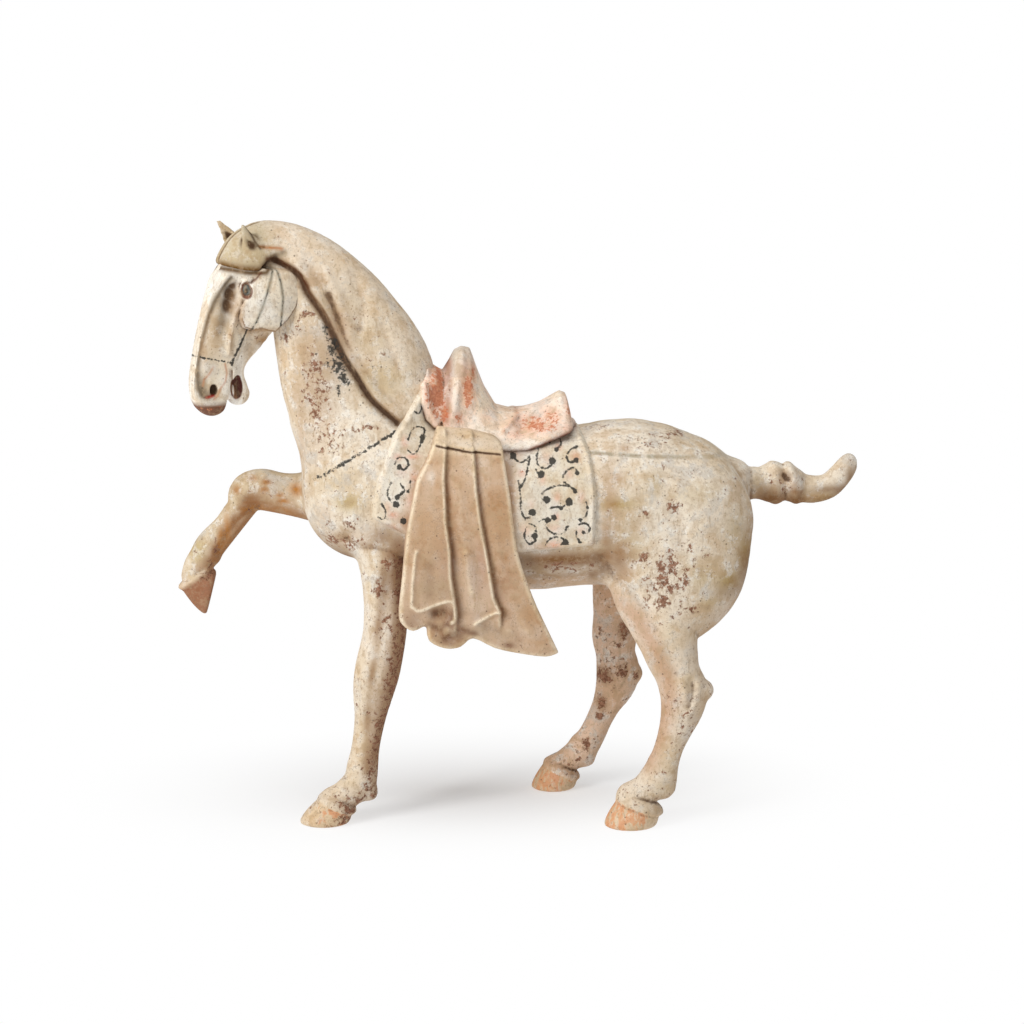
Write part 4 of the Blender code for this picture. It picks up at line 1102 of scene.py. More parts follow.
def face_paint(p, n, fine, wide):
    """White face with painted light on its flat front, painted shade along the crease down its side, beside it, in
    the hollow before the eye, round the nostril, under the forelock and below the cheek disc, painted eyes, bridle
    lines and a red mouth.
    """
    q = head_frame(p)
    f, z = q[:, 0], q[:, 2]
    side = np.abs(q[:, 1])
    coat = np.tile(linear(0.94, 0.905, 0.845), (len(p), 1))
    front = np.clip((13 - side) / 3, 0, 1) * (f > 40)
    crease = near_line(f, z, CREASE)
    # Painted light: the flat front of the face is whitened
    coat = tint(coat, 0.85 * front, linear(0.985, 0.965, 0.93))
    disc = outline(q, CHEEK_EDGE)
    coat = tint(coat, 0.6 * (disc < 0), linear(0.96, 0.935, 0.89))
    # Painted shade in a dark line just outside the lower and rear edge of the cheek disc
    under = stroke(f, z, CHEEK_EDGE[2:12], 1.5) * (side < 28) * (disc > 0)
    coat = tint(coat, 0.9 * under, linear(0.40, 0.25, 0.15))
    # Painted shade filling the hollow before the eye, crisp below the brow
    hollow = spots(f, z, ((50, 464, 5, 6, 0.9), (52.5, 457, 6, 8, 1.1), (55, 448, 6, 9, 1.0),
                          (60, 452, 5, 7, 0.5), (58, 436, 6, 10, 0.5))) * (side > 9)
    hollow *= (np.clip((f - 45.5 - 0.25 * np.maximum(458 - z, 0)) / 2, 0, 1)
               * np.clip((470.5 - z - 0.6 * (f - 47)) / 3, 0, 1))
    coat = tint(coat, np.clip(1.2 * hollow, 0, 0.97), linear(0.27, 0.17, 0.09))
    # Painted shade on the side of the face beside its crease
    coat = tint(coat, 0.6 * spots(f, z, ((64, 430, 6, 22, 1.0), (70, 400, 5, 16, 0.8))) * (side > 9),
                linear(0.64, 0.57, 0.46))
    # Painted shade along the crease between the face's front and side, wider at the muzzle and at the top
    crease = crease / np.interp(z, (372, 398, 440, 470), (3.4, 2.2, 1.6, 2.6))
    coat = tint(coat, 0.9 * np.exp(-crease**2) * (side > 7), linear(0.38, 0.32, 0.24))
    # Painted shade round the nostril's wing
    muzzle = spots(f, z, ((76, 379, 4, 10, 1.0), (72, 371.5, 7, 4, 0.9))) * (side > 7)
    coat = tint(coat, 0.85 * muzzle, linear(0.42, 0.37, 0.30))
    # Painted shadow under the forelock plate's edge
    plate = near_line(f, z, ((57, 478), (50, 477.2), (36.4, 474.6), (24, 474.8), (16, 482)))
    coat = tint(coat, 0.95 * np.exp(-(plate / 2.6) ** 2) * (side > 4), linear(0.36, 0.25, 0.11))
    lip = np.clip((368 - z) / 5, 0, 1) * (f > 54)
    coat = tint(coat, 0.95 * lip, linear(0.43, 0.25, 0.17))
    stains = spots(f, z, ((47, 443, 5, 14, 0.7), (66, 420, 8, 16, 0.35), (44, 450, 3, 7, 0.6),
                          (22, 416, 9, 6, 0.9),
                          (33, 410, 8, 6, 0.4), (74, 410, 3, 12, 0.5), (52, 418, 3, 14, 0.5),
                          (30, 426, 16, 3, 0.7)))
    coat = tint(coat, stains, linear(0.66, 0.50, 0.31))
    threads = np.minimum(near_line(f, z, ((67, 397), (71, 391), (75, 386.5), (76, 381.5))),
                         near_line(f, z, ((57, 399), (55.5, 391), (57, 384), (61, 379), (64, 372.5),
                                          (67, 369.7))))
    coat = tint(coat, 0.7 * np.exp(-(threads / 0.9) ** 2) * (side > 5), linear(0.75, 0.48, 0.30))
    inside = np.sqrt(((f - 45.0) / 6.2) ** 2 + ((z - 377.3) / 11.2) ** 2) < 1.02
    cup = inside * (side < 8.2) * (side > 0.5) * np.clip(wide * 2 + 0.9, 0, 1)
    coat = tint(coat, 0.97 * cup, linear(0.34, 0.10, 0.07))
    tongue = inside * np.clip(1.6 - np.hypot((f - 45.4) / 1.3, (z - 373.5) / 5.0), 0, 1) * (side > 0.5)
    coat = tint(coat, 0.9 * tongue, linear(0.76, 0.55, 0.40))
    nostril = np.hypot((f - 67.2) / 3.6, (z - 377.4) / 4.9)
    coat = tint(coat, 0.98 * np.clip((1.08 - nostril) * 6, 0, 1) * (side > 7), linear(0.14, 0.06, 0.05))
    below = stroke(f, z, ((67, 372.8), (73, 371.6)), 1.3) * (side > 7)
    coat = tint(coat, 0.95 * below, linear(0.66, 0.07, 0.07))
    f0, z0, out = EYE
    eye = np.hypot((f - f0) / 3.6, (z - z0) / 5.4)
    looking = side > 18
    rim = np.hypot((f - f0 - 0.5) / 3.8, (z - z0 + 0.7) / 5.7)
    coat = tint(coat, 0.95 * np.clip((1.3 - rim) * 6, 0, 1) * looking, linear(0.42, 0.21, 0.13))
    coat = tint(coat, 0.6 * np.clip((0.96 - eye) * 7, 0, 1) * looking, linear(0.80, 0.78, 0.73))
    iris = np.hypot((f - f0 - 0.2) / 3.1, (z - z0 + 0.1) / 4.6)
    coat = tint(coat, np.clip((1.1 - iris) * 7, 0, 1) * looking, linear(0.16, 0.14, 0.12))
    coat = tint(coat, np.clip((0.93 - iris) * 7, 0, 1) * looking, linear(0.42, 0.45, 0.44))
    pupil = np.hypot((f - f0 - 0.7) / 1.9, (z - z0 + 1.0) / 2.7)
    coat = tint(coat, np.clip((1.0 - pupil) * 3, 0, 1) * looking, linear(0.08, 0.08, 0.08))
    lid = near_line(f, z, ((44, 465.5), (40, 467.6), (36, 466.6), (32.5, 470), (28, 475)))
    coat = tint(coat, 0.9 * np.exp(-(lid / 0.9) ** 2) * looking, linear(0.36, 0.20, 0.13))
    straps = np.minimum(near_line(f, z, BRIDLE[0]), near_line(f, z, BRIDLE[1]))
    high = np.clip((z - 428) / 8, 0, 1)
    coat = tint(coat, 0.8 * high * np.exp(-(straps / 1.3) ** 2) * (side > 7), linear(0.43, 0.42, 0.36))
    ink = np.where(side > 7, straps / 1.25 + 0.1 + 0.75 * high, NO_INK)
    ink = np.minimum(ink, near_line(f, z, NOSE_BAND) / 1.1 + 0.25 + 0.9 * (np.sin(f * 1.15) > 0.75))
    front_gap = near_line(f, z, ((50, 392), (49.6, 384), (50.2, 372)))
    coat = tint(coat, 0.8 * np.exp(-(front_gap / 0.9) ** 2) * (side < 12.5), linear(0.55, 0.37, 0.24))
    dirt_and_shade = np.clip(crevice_dirt_and_shade(fine, wide) * 0.85, 0, 1)
    dirt_and_shade *= 1 - 0.8 * (eye < 1.1) * looking
    dirt_and_shade *= 1 - 0.9 * stroke(f, z, MOUTH_LINE, 2.5, 4)
    bare = 0.28 + 0.5 * spots(f, z, ((70, 415, 6, 12, 0.4), (22, 420, 12, 5, 0.9), (14, 424, 14, 3, 0.8),
                                     (52, 425, 4, 10, 0.6)))
    bare = bare * (1 - looking * (eye < 1.4))
    pale = 0.6 * np.clip((coat[:, 1] - 0.22) / 0.2, 0, 1)
    return coat, marks_of(len(p), dirt_and_shade=dirt_and_shade, bare=bare * 0.7, ink=ink, red=lip * 0.85, pale=pale)


def saddle_paint(p, n, fine, wide):
    """Pale saddle with flaked orange-red left in the hollow of the pommel and on the cantle's side, painted shade in
    the pommel's valley and along its lower edges on the blanket.
    """
    x, y, z = p.T
    coat = np.tile(linear(0.97, 0.93, 0.87), (len(p), 1))
    coat = tint(coat, 0.35 * (x < -40) * (z > 385), GREY)
    red = spots(x, z, ((-70, 376, 6, 30, 1.2), (-66, 356, 7, 14, 1.1), (-75, 392, 6, 8, 0.9),
                       (-62, 396, 3, 8, 0.8),
                       (-46, 374, 6, 22, 1.0), (-41, 388, 4, 10, 1.0), (-54, 352, 8, 8, 1.0),
                       (-81, 372, 4, 22, 0.9),
                       (8, 347, 26, 7, 0.9), (24, 350, 14, 12, 0.9), (-6, 338, 14, 6, 0.8),
                       (40, 356, 6, 14, 0.9),
                       (36, 342, 10, 8, 0.8), (-30, 352, 10, 8, 0.5)))
    red = 1.2 * np.maximum(red, spots(x, z, ((-74, 372, 10, 30, 1.1), (-46, 374, 8, 24, 1.1),
                                             (12, 344, 30, 9, 1.0))))
    line = near_line(x, z, ((34, 371), (15, 362), (-5, 351.5), (-17, 341)))
    red = np.maximum(red, 0.9 * np.exp(-(line / 2.2) ** 2))
    top = near_line(x, z, SADDLE_TOP[10:16])
    red = np.maximum(red, 0.5 * np.exp(-(top / 3) ** 2))
    low = near_line(x, z, ((-18, 325), (4, 326), (33, 336.5), (46, 341)))
    coat = tint(coat, 0.6 * np.clip(red, 0, 1), linear(0.88, 0.64, 0.51))
    # Painted shade in the pommel's valley
    deep = near_line(x, z, ((-62, 397), (-62, 376), (-64, 362), (-65, 350)))
    coat = tint(coat, 0.6 * np.exp(-(deep / 3.4) ** 2), linear(0.55, 0.30, 0.20))
    # Painted shade along the saddle's lower front and rear edges, where it meets the blanket
    coat = tint(coat, 0.9 * stroke(x, z, SADDLE_SIDE[1:5], 1.3), linear(0.36, 0.20, 0.12))
    coat = tint(coat, 0.9 * np.exp(-(low / 2.0) ** 2), linear(0.42, 0.18, 0.12))
    dirt_and_shade = np.clip(crevice_dirt_and_shade(fine, wide) * 0.6, 0, 1)
    return coat, marks_of(len(p), dirt_and_shade=dirt_and_shade, red=red, pale=0.7)


# Scroll ornament of the blanket in the side view: lines end in a blob of the given size
SCROLLS = (
    (2.2, ((4, 321), (0, 318), (-4, 317), (-8, 319), (-9.5, 322))),
    (1.6, ((4, 319), (2, 312), (0, 305), (-4, 299))),
    (2.4, ((12, 326), (10, 320), (11, 315), (16, 312.5), (21, 314), (23, 318))),
    (2.6, ((9, 312), (10.5, 309), (13, 308))),
    (1.3, ((22, 331), (26, 335), (31, 333), (31, 329), (27, 326))),
    (1.8, ((45, 328), (39, 326), (35, 321), (38, 317), (43, 318.5))),
    (1.8, ((31, 306), (35, 311), (41, 313), (43, 309))), (1.6, ((32, 302), (36, 299), (41, 295))),
    (2.8, ((40, 297), (34, 299), (26, 299), (18, 296.5), (13, 292.5), (13, 288.5), (17, 288))),
    (3.0, ((30, 281), (33, 284), (36, 286))), (1.2, ((50, 286), (51, 280), (49, 274), (45, 271))),
    (1.2, ((20, 281), (25, 282), (29, 281))), (2.4, ((11, 270), (15, 272), (18, 271))),
    (2.0, ((21, 275), (23, 273))),
    (2.9, ((-6, 303), (-4.5, 291), (-4.5, 281), (-2, 273.5), (3, 273), (5, 277.5))),
    (2.6, ((0, 265), (-1.5, 257), (2, 250.5), (7.5, 253), (7, 257.5))),
    (0.8, ((2, 268), (7, 266), (8, 262))),
    (1.1, ((16, 266), (20, 261), (27, 259), (32, 261), (34, 265))),
    (1.4, ((44, 267), (49, 268.5), (53, 264.5), (51.5, 260), (47.5, 260.5))),
    (1.2, ((42, 261), (42, 256), (45, 252))),
    (3.0, ((16, 250), (20, 255), (26, 256.5), (31, 254.5), (32, 250))), (2.2, ((36, 249), (33, 252))),
    (2.2, ((-97, 336), (-94, 343), (-88, 346), (-83, 343), (-85, 337))),
    (1.6, ((-98, 328), (-93, 324), (-88, 329), (-86, 334))),
    (2.0, ((-109, 316), (-106, 321), (-100, 321), (-97, 316), (-101, 312), (-105, 314))),
    (2.4, ((-112, 301), (-115, 294), (-113, 286), (-108, 283))),
    (1.8, ((-104, 300), (-101, 295), (-104, 292), (-107, 289))),
    (1.8, ((-120, 283), (-117, 277), (-118, 271), (-122, 270))), (2.6, ((-103, 273), (-102, 269))),
    (0.8, ((-93, 360), (-88, 357), (-85, 362))), (0.9, ((-96, 303), (-96, 298), (-98, 294))),
)
# Faint red touches of the blanket
BLUSH = (
    (-3, 309, 3, 3, 0.9), (26, 290, 3, 4, 0.8), (25, 274, 2.5, 3.5, 0.9), (43, 321, 4, 4, 0.7),
    (29, 328, 3, 3, 0.8),
    (14, 304, 3, 4, 0.6), (46, 290, 3, 5, 0.6), (-9, 324, 3, 4, 0.6), (24, 250, 5, 3.5, 1.0),
    (-1, 262, 5, 6, 0.5),
    (18, 320, 5, 5, 0.5), (24, 264, 6, 4, 0.5), (-100, 334, 3, 5, 0.8), (-94, 322, 6, 2, 0.9),
    (-111, 274, 4, 3, 1.0),
    (-115, 280, 3, 5, 0.5), (-106, 322, 4, 3, 0.8), (-93, 306, 3, 5, 0.5), (-103, 310, 4, 4, 0.6),
    (-112, 262, 5, 4, 0.5),
    (36, 308, 4, 4, 0.5), (4, 284, 3, 4, 0.4), (46, 262, 4, 4, 0.4), (-98, 286, 4, 6, 0.5),
)


def blanket_paint(p, n, fine, wide):
    """White ground with dark scrolls and faint red touches, painted shade beside the cloth and at the saddle's lower
    edges, and darker along the hem.
    """
    x, y, z = p.T
    coat = np.tile(linear(0.885, 0.85, 0.785), (len(p), 1))
    edge = outline(p, BLANKET)
    coat = tint(coat, 0.8 * np.exp(-((edge + 2.5) / 1.8) ** 2), linear(0.93, 0.88, 0.80))
    ink = np.full(len(p), NO_INK)
    for size, line in SCROLLS:
        path = np.array(line, float)
        m = (np.abs(x - path[:, 0].mean()) < 20) & (np.abs(z - path[:, 1].mean()) < 22)
        flow = smooth_stations(path, 4)
        reach = near_line(x[m], z[m], [tuple(point) for point in flow])
        blob = np.hypot(x[m] - path[-1, 0], z[m] - path[-1, 1]) - size + 0.9
        ink[m] = np.minimum(ink[m], np.minimum(reach + 0.15, blob - 0.35))
    ink = np.where((edge < -2.5) & (n[:, 1] * np.sign(y) > 0.2), ink, NO_INK)
    blush = spots(x, z, BLUSH)
    hem = np.clip((z - 232) / 16, 0, 1)
    # Painted shade in brown beside the cloth's edges and just below the saddle, and brown along the hem
    brown = spots(x, z, ((-15, 290, 8, 45, 0.8), (-98, 268, 12, 12, 0.8), (-92, 290, 6, 30, 0.7),
                         (10, 248, 14, 4, 0.6),
                         (-6, 330, 8, 14, 0.6), (-108, 262, 14, 6, 0.6), (56, 250, 4, 5, 0.4)))
    coat = tint(coat, brown, linear(0.66, 0.47, 0.31))
    coat = tint(coat, 0.6 * blush, linear(0.88, 0.58, 0.46))
    # Painted shade along the saddle's lower front edge and painted shadow below its rear edge
    coat = tint(coat, 0.95 * stroke(x, z, SADDLE_SIDE[1:5], 1.8), linear(0.27, 0.16, 0.10))
    low = near_line(x, z, ((-18, 324.5), (4, 325.5), (33, 336), (46, 340.5)))
    coat = tint(coat, 0.7 * np.exp(-(low / 2.0) ** 2), linear(0.45, 0.20, 0.13))
    # Dirt and painted shade in the hollows, and darker towards the hem
    dirt_and_shade = np.clip(crevice_dirt_and_shade(fine, wide) * 0.8 + 0.2 * (1 - hem), 0, 1)
    return coat, marks_of(len(p), dirt_and_shade=dirt_and_shade, ink=ink, red=blush, pale=0.6)


def cloth_paint(p, n, fine, wide):
    """Beige cloth with ochre stains, painted highlights on its edges and ridges, and painted shade in its pleat
    valleys, broad hollows, curled folds, back faces and the crease under its band.
    """
    x, y, z = p.T
    coat = np.tile(linear(0.775, 0.66, 0.55), (len(p), 1))
    top = np.clip((z - 322) / 10, 0, 1)
    coat = tint(coat, 0.8 * top, linear(0.84, 0.76, 0.65))
    white = spots(x, z, ((-50, 331, 20, 5, 0.9), (-40, 318, 10, 14, 0.55), (-78, 308, 5, 5, 0.7),
                         (-40, 190, 6, 20, 0.35),
                         (-45, 220, 6, 30, 0.3)))
    coat = tint(coat, white, linear(0.90, 0.85, 0.79))
    ochre = spots(x, z, ((-24, 275, 12, 35, 0.7), (-64, 262, 14, 30, 0.25), (-89, 300, 4, 8, 0.7),
                         (-74, 305, 3, 8, 0.8),
                         (-64, 285, 3, 10, 0.7), (-17, 240, 4, 5, 0.9), (5, 190, 8, 14, 0.6),
                         (12, 168, 12, 6, 0.6),
                         (-45, 290, 12, 14, 0.35), (-88, 260, 6, 30, 0.3), (-20, 310, 6, 8, 0.5)))
    coat = tint(coat, 0.7 * ochre, linear(0.70, 0.53, 0.36))
    grey = spots(x, z, ((-74, 215, 12, 16, 0.6), (-78, 232, 10, 20, 0.3), (-36, 180, 8, 10, 0.5),
                        (-20, 175, 10, 6, 0.35)))
    coat = tint(coat, grey, linear(0.63, 0.55, 0.44))
    mauve = spots(x, z, ((-38, 235, 7, 24, 0.5), (-66, 240, 10, 30, 0.3), (-20, 215, 9, 22, 0.3)))
    coat = tint(coat, mauve, linear(0.68, 0.52, 0.44))
    # The curled lobes of the hem in brown, in part painted shade in their curl, with painted shadow along the curls'
    # undercut lines
    lobe = spots(x, z, ((-66, 176, 9, 10, 0.85), (-72, 193, 7, 5, 1.0), (-57, 174, 6, 6, 0.7),
                        (-97, 186, 8, 8, 0.5), (-15, 165, 5, 3, 1.0)))
    coat = tint(coat, 0.8 * lobe, linear(0.46, 0.31, 0.22))
    curl = np.minimum(near_line(x, z, ((-44, 176), (-55, 180), (-63, 176), (-69, 172))),
                      near_line(x, z, ((-61, 196), (-64, 186), (-74, 181), (-82, 184))))
    coat = tint(coat, 0.7 * np.exp(-(curl / 3.2) ** 2), linear(0.40, 0.26, 0.18))
    # Painted shade in the pleat valleys, right of each pleat line
    pleats = [[(b, a) for a, b in row] for row in (PANEL_A, PANEL_B)]
    valley = np.min([near_line(x - 3.2, z, row) for row in pleats], axis=0)
    coat = tint(coat, 0.55 * np.exp(-(valley / 2.2) ** 2) * (z < 325), linear(0.50, 0.36, 0.25))
    # Painted shade: broad hollows turn brown
    coat = tint(coat, 0.75 * np.clip((wide - 0.05) / 0.9, 0, 1), linear(0.52, 0.37, 0.26))
    # Painted highlight on convex edges
    rim = np.clip((-fine - 0.03) / 0.14, 0, 1) * 0.75
    coat = tint(coat, rim * (n[:, 1] * np.sign(y) > -0.2), linear(0.91, 0.83, 0.71))
    # Painted highlight lines along the pleats, the drape's edges and the ridges
    lines = pleats + [DRAPE[:8], DRAPE[DRAPE_CORNER:-3], CLOTH_RIDGES[0][2], CLOTH_RIDGES[1][2]]
    bright = np.min([near_line(x, z, row) for row in lines], axis=0)
    coat = tint(coat, 0.7 * np.exp(-(bright / 1.1) ** 2) * (z < 332) * (n[:, 1] * np.sign(y) > 0),
                linear(0.95, 0.89, 0.79))
    # Painted shade on the cloth's faces turned towards the horse
    back = np.clip(-n[:, 1] * np.sign(y), 0, 1)
    coat = tint(coat, 0.5 * back, BROWN)
    # Dirt and painted shade in the hollows, and painted shade in the crease under the band
    crease = near_line(x, z, CLOTH_CREASE)
    dirt_and_shade = np.clip(crevice_dirt_and_shade(fine, wide) * 0.5 + 0.9 * np.exp(-(crease / 1.0) ** 2), 0, 1)
    return coat, marks_of(len(p), dirt_and_shade=dirt_and_shade, bare=BARE_CLAY + 0.3 * lobe, pale=0.12)


def clay_material():
    """Painted clay: the coat at each point, mottled and stained, flaked to bare clay in patches, with dirt and
    painted shade in the hollows, broken dark brush lines and remains of red."""
    paint = bpy.data.materials.new("painted_clay")
    paint.use_nodes = True
    tree = paint.node_tree
    shader = tree.nodes["Principled BSDF"]

    def make(kind, *sources, **settings):
        made = tree.nodes.new("ShaderNode" + kind)
        for key, value in settings.items():
            setattr(made, key, value)
        for i, source in enumerate(sources):
            if source is None:
                continue
            if hasattr(source, "is_output"):
                tree.links.new(source, made.inputs[i])
            else:
                made.inputs[i].default_value = source
        return made

    def math(operation, a, b=None, c=None):
        return make("Math", a, b, c, operation=operation).outputs[0]

    def ramp(value, low, high, top=1.0):
        made = make("MapRange", value, low, high, 0.0, top, interpolation_type="SMOOTHSTEP")
        return made.outputs[0]

    def noise(scale, detail, rough, stretch=(1, 1, 1)):
        place = make("Mapping", spot, None, None, stretch).outputs[0]
        made = make("TexNoise", place)
        made.inputs["Scale"].default_value = scale
        made.inputs["Detail"].default_value = detail
        made.inputs["Roughness"].default_value = rough
        return made.outputs["Fac"]

    def mark(name, output="Fac"):
        return make("Attribute", attribute_name=name).outputs[output]

    def mix(share, a, b, blend_type="MIX"):
        made = make("MixRGB", share, a, None, blend_type=blend_type)
        if hasattr(b, "is_output"):
            tree.links.new(b, made.inputs[2])
        else:
            made.inputs[2].default_value = (*b, 1)
        return made.outputs[0]

    spot = make("TexCoord").outputs["Object"]
    broad = noise(22, 5, 0.6)
    veil = noise(48, 8, 0.68)
    patchy = noise(95, 9, 0.70)
    ragged = noise(270, 8, 0.76)
    grain = noise(420, 6, 0.7)
    speck = noise(1150, 3, 0.6)
    streak = noise(260, 5, 0.7, (1, 1, 0.25))
    hair = noise(130, 6, 0.62)
    pale = mark("pale")
    colour = mark("coat", "Color")
    colour = mix(ramp(broad, 0.44, 0.62, 0.8), colour, (0.89, 0.82, 0.71), "MULTIPLY")
    colour = mix(math("MULTIPLY", ramp(patchy, 0.52, 0.60, 0.6), pale), colour, (0.84, 0.80, 0.73))
    colour = mix(math("MULTIPLY", ramp(veil, 0.53, 0.61, 0.5), pale), colour, (0.53, 0.48, 0.42))
    colour = mix(ramp(veil, 0.47, 0.39, 0.55), colour, (0.80, 0.68, 0.54), "MULTIPLY")
    colour = mix(ramp(streak, 0.53, 0.66, 0.45), colour, (0.42, 0.29, 0.17))
    colour = mix(ramp(patchy, 0.48, 0.38, 0.4), colour, (0.46, 0.33, 0.20))
    colour = mix(ramp(grain, 0.56, 0.68, 0.55), colour, (0.28, 0.19, 0.115))
    thin = math("ABSOLUTE", math("SUBTRACT", hair, 0.5))
    cracks = math("MULTIPLY", ramp(thin, 0.009, 0.002, 0.6), ramp(patchy, 0.50, 0.57))
    colour = mix(cracks, colour, (0.17, 0.115, 0.07))
    bare = mark("bare")
    wear = math("ADD", math("MULTIPLY", ragged, 1.1), math("MULTIPLY", patchy, 0.4))
    wear = math("ADD", wear, math("MULTIPLY", bare, 0.42))
    clay = mix(ramp(grain, 0.42, 0.60), (0.155, 0.062, 0.035, 1), (0.34, 0.165, 0.10))
    flaked = ramp(wear, 1.005, 1.035, 0.92)
    stained = ramp(wear, 0.94, 1.02, 0.45)
    colour = mix(stained, colour, (0.48, 0.33, 0.20))
    colour = mix(flaked, colour, clay)
    red = math("ADD", math("MULTIPLY", mark("red"), 0.38), math("MULTIPLY", patchy, 0.35))
    red = math("ADD", red, math("MULTIPLY", ragged, 0.90))
    scarlet = mix(ramp(grain, 0.42, 0.60), (0.46, 0.13, 0.055, 1), (0.62, 0.25, 0.125))
    colour = mix(ramp(red, 1.00, 1.06, 0.88), colour, scarlet)
    orange = math("ADD", math("MULTIPLY", mark("orange"), 0.55), math("ADD", math("MULTIPLY", patchy, 0.6),
                                                                      math("MULTIPLY", streak, 0.5)))
    colour = mix(ramp(orange, 1.05, 1.14, 0.75), colour, (0.70, 0.30, 0.13))
    # Dirt and painted shade from the hollows, broken up by the grain, darken the colour
    dirt_and_shade = math("ADD", mark("dirt_and_shade"), math("MULTIPLY", math("SUBTRACT", grain, 0.5), 1.2))
    colour = mix(ramp(dirt_and_shade, 0.10, 0.95, 0.92), colour, (0.085, 0.045, 0.024))
    line = math("SUBTRACT", math("ADD", 1.0, math("MULTIPLY", math("SUBTRACT", grain, 0.5), 3.4)),
                mark("ink"))
    line = math("ADD", line, math("MULTIPLY", math("SUBTRACT", patchy, 0.52), 2.6))
    line = math("ADD", line, math("MULTIPLY", math("SUBTRACT", ragged, 0.5), 3.6))
    colour = mix(ramp(line, -0.20, 0.40, 0.95), colour, (0.036, 0.034, 0.029))
    dots = make("TexVoronoi", spot)
    dots.inputs["Scale"].default_value = 165
    pits = math("MULTIPLY", ramp(dots.outputs["Distance"], 0.15, 0.09, 0.75),
                ramp(dots.outputs["Color"], 0.68, 0.71))
    colour = mix(pits, colour, (0.10, 0.06, 0.035))
    colour = mix(ramp(speck, 0.655, 0.70, 0.6), colour, (0.12, 0.07, 0.04))
    tree.links.new(colour, shader.inputs["Base Color"])
    rough = math("ADD", 0.74, math("MULTIPLY", flaked, 0.16))
    tree.links.new(rough, shader.inputs["Roughness"])
    shader.inputs["Specular IOR Level"].default_value = 0.15
    height = math("SUBTRACT", math("MULTIPLY", grain, 0.5), math("MULTIPLY", flaked, 0.35))
    height = math("ADD", height, math("MULTIPLY", speck, 0.15))
    height = math("ADD", height, math("MULTIPLY", patchy, 0.8))
    bump = make("Bump")
    bump.inputs["Strength"].default_value = 0.5
    bump.inputs["Distance"].default_value = 0.0009
    tree.links.new(height, bump.inputs["Height"])
    tree.links.new(bump.outputs[0], shader.inputs["Normal"])
    return paint


def floor_material():
    """White with a painted glow that is already at part strength round the horse, where it lightens the soft shadow,
    and reaches the background's white further out.
    """
    paint = bpy.data.materials.new("studio floor")
    paint.use_nodes = True
    tree = paint.node_tree
    tree.nodes.clear()
    spot = tree.nodes.new("ShaderNodeTexCoord")
    length = tree.nodes.new("ShaderNodeVectorMath")
    length.operation = "LENGTH"
    place = tree.nodes.new("ShaderNodeMapping")
    place.inputs["Location"].default_value = POOL_PLACE
    place.inputs["Scale"].default_value = (1, POOL_DEPTH, 1)
    tree.links.new(spot.outputs["Object"], place.inputs["Vector"])
    tree.links.new(place.outputs["Vector"], length.inputs[0])
    share = tree.nodes.new("ShaderNodeMapRange")
    share.interpolation_type = "SMOOTHSTEP"
    share.inputs["From Min"].default_value = FLOOR_NEAR
    share.inputs["From Max"].default_value = FLOOR_FAR
    tree.links.new(length.outputs["Value"], share.inputs["Value"])
    lit = tree.nodes.new("ShaderNodeBsdfDiffuse")
    lit.inputs["Color"].default_value = (FLOOR_WHITE, FLOOR_WHITE, FLOOR_WHITE, 1)
    # Painted glow, mixed in by distance from the pool round the horse
    glow = tree.nodes.new("ShaderNodeEmission")
    mixed = tree.nodes.new("ShaderNodeMixShader")
    out = tree.nodes.new("ShaderNodeOutputMaterial")
    tree.links.new(share.outputs[0], mixed.inputs[0])
    tree.links.new(lit.outputs[0], mixed.inputs[1])
    tree.links.new(glow.outputs[0], mixed.inputs[2])
    tree.links.new(mixed.outputs[0], out.inputs[0])
    return paint


def soft_light(name, place, size, power):
    """Square studio light turned towards the horse's middle."""
    light = bpy.data.lights.new(name, "AREA")
    light.shape = "SQUARE"
    light.size = size
    light.energy = power
    lamp = bpy.data.objects.new(name, light)
    lamp.location = place
    lamp.rotation_euler = (Vector((0, 0, 0.25)) - Vector(place)).to_track_quat("-Z", "Y").to_euler()
    bpy.context.scene.collection.objects.link(lamp)


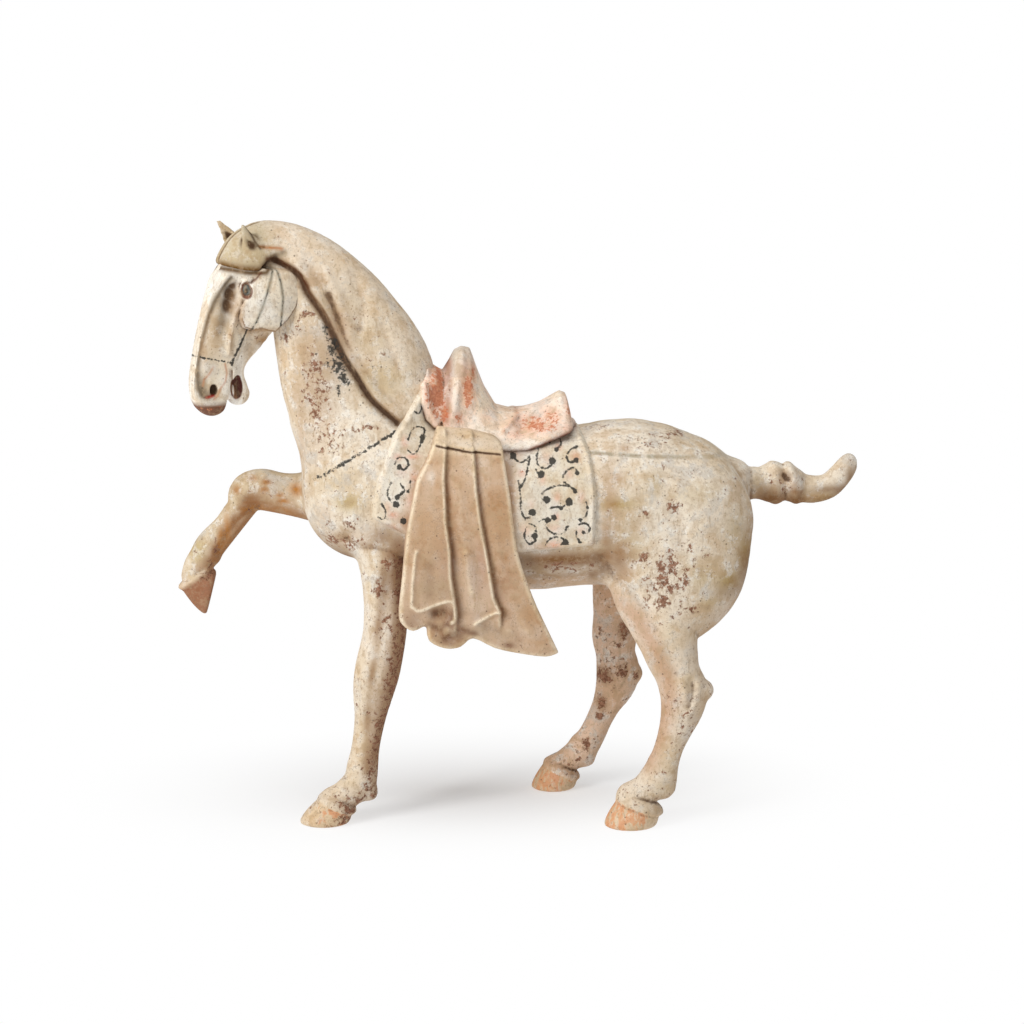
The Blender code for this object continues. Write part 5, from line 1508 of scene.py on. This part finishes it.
def studio():
    """Pale floor whose painted glow runs out into white, soft light mostly from above and a camera at the
    photograph's angle.
    """
    scene = bpy.context.scene
    mesh = bpy.data.meshes.new("floor")
    corners = [(i * FLOOR_HALF, j * FLOOR_HALF, 0) for i, j in ((-1, -1), (1, -1), (1, 1), (-1, 1))]
    mesh.from_pydata(corners, [], [(0, 1, 2, 3)])
    floor = bpy.data.objects.new("floor", mesh)
    scene.collection.objects.link(floor)
    mesh.materials.append(floor_material())
    world = bpy.data.worlds.new("studio")
    scene.world = world
    world.use_nodes = True
    world.node_tree.nodes["Background"].inputs[0].default_value = (1, 1, 1, 1)
    world.node_tree.nodes["Background"].inputs[1].default_value = WORLD_LIGHT
    for name, place, size, power in LIGHTS:
        soft_light(name, place, size, power)
    scene.view_settings.view_transform = "Standard"
    camera = bpy.data.cameras.new("camera")
    camera.sensor_width = SENSOR
    camera.lens = SENSOR * DISTANCE / (PICTURE * PIXEL)
    eye = bpy.data.objects.new("camera", camera)
    a, e = np.radians(AZIMUTH), np.radians(ELEVATION)
    back = Vector((np.sin(a) * np.cos(e), -np.cos(a) * np.cos(e), np.sin(e)))
    eye.location = Vector(TARGET) + back * DISTANCE
    eye.rotation_euler = back.to_track_quat("Z", "Y").to_euler()
    scene.collection.objects.link(eye)
    scene.camera = eye


CLAY = clay_material()
clay_piece("horse_body_front", lambda p: trim(body(p), p[:, 0] - SEAM - 0.8, 0.2), (-312.3, -100.7, -4.2),
           (SEAM + 6, 100, 530), BODY_STEP, body_paint)
clay_piece("horse_body_rear", lambda p: trim(body(p), SEAM - 0.8 - p[:, 0], 0.2),
           (SEAM - 6.3, -100.7, -4.2), (306, 100, 372), BODY_STEP, body_paint)
clay_piece("face", face, (-292.3, -50.7, 345.2), (-166, 50, 490), FACE_STEP, face_paint)
clay_piece("saddle", saddle_shape, (-92.3, -58.7, 312.2), (54, 58, 416), SADDLE_STEP, saddle_paint)
clay_piece("blanket_near", lambda p: blanket(p, -1), (-134.3, -86.7, 236.2), (66, 3, 386), BLANKET_STEP,
           blanket_paint)
clay_piece("blanket_far", lambda p: blanket(p, 1), (-134.3, -2.3, 236.2), (66, 86, 386), FAR_STEP,
           blanket_paint)
clay_piece("cloth_near", lambda p: cloth(p, -1), (-114.3, -95.7, 148.2), (34, -8, 352), CLOTH_STEP,
           cloth_paint)
clay_piece("cloth_far", lambda p: cloth(p, 1), (-114.3, 8.3, 148.2), (34, 95, 352), FAR_STEP, cloth_paint)
studio()
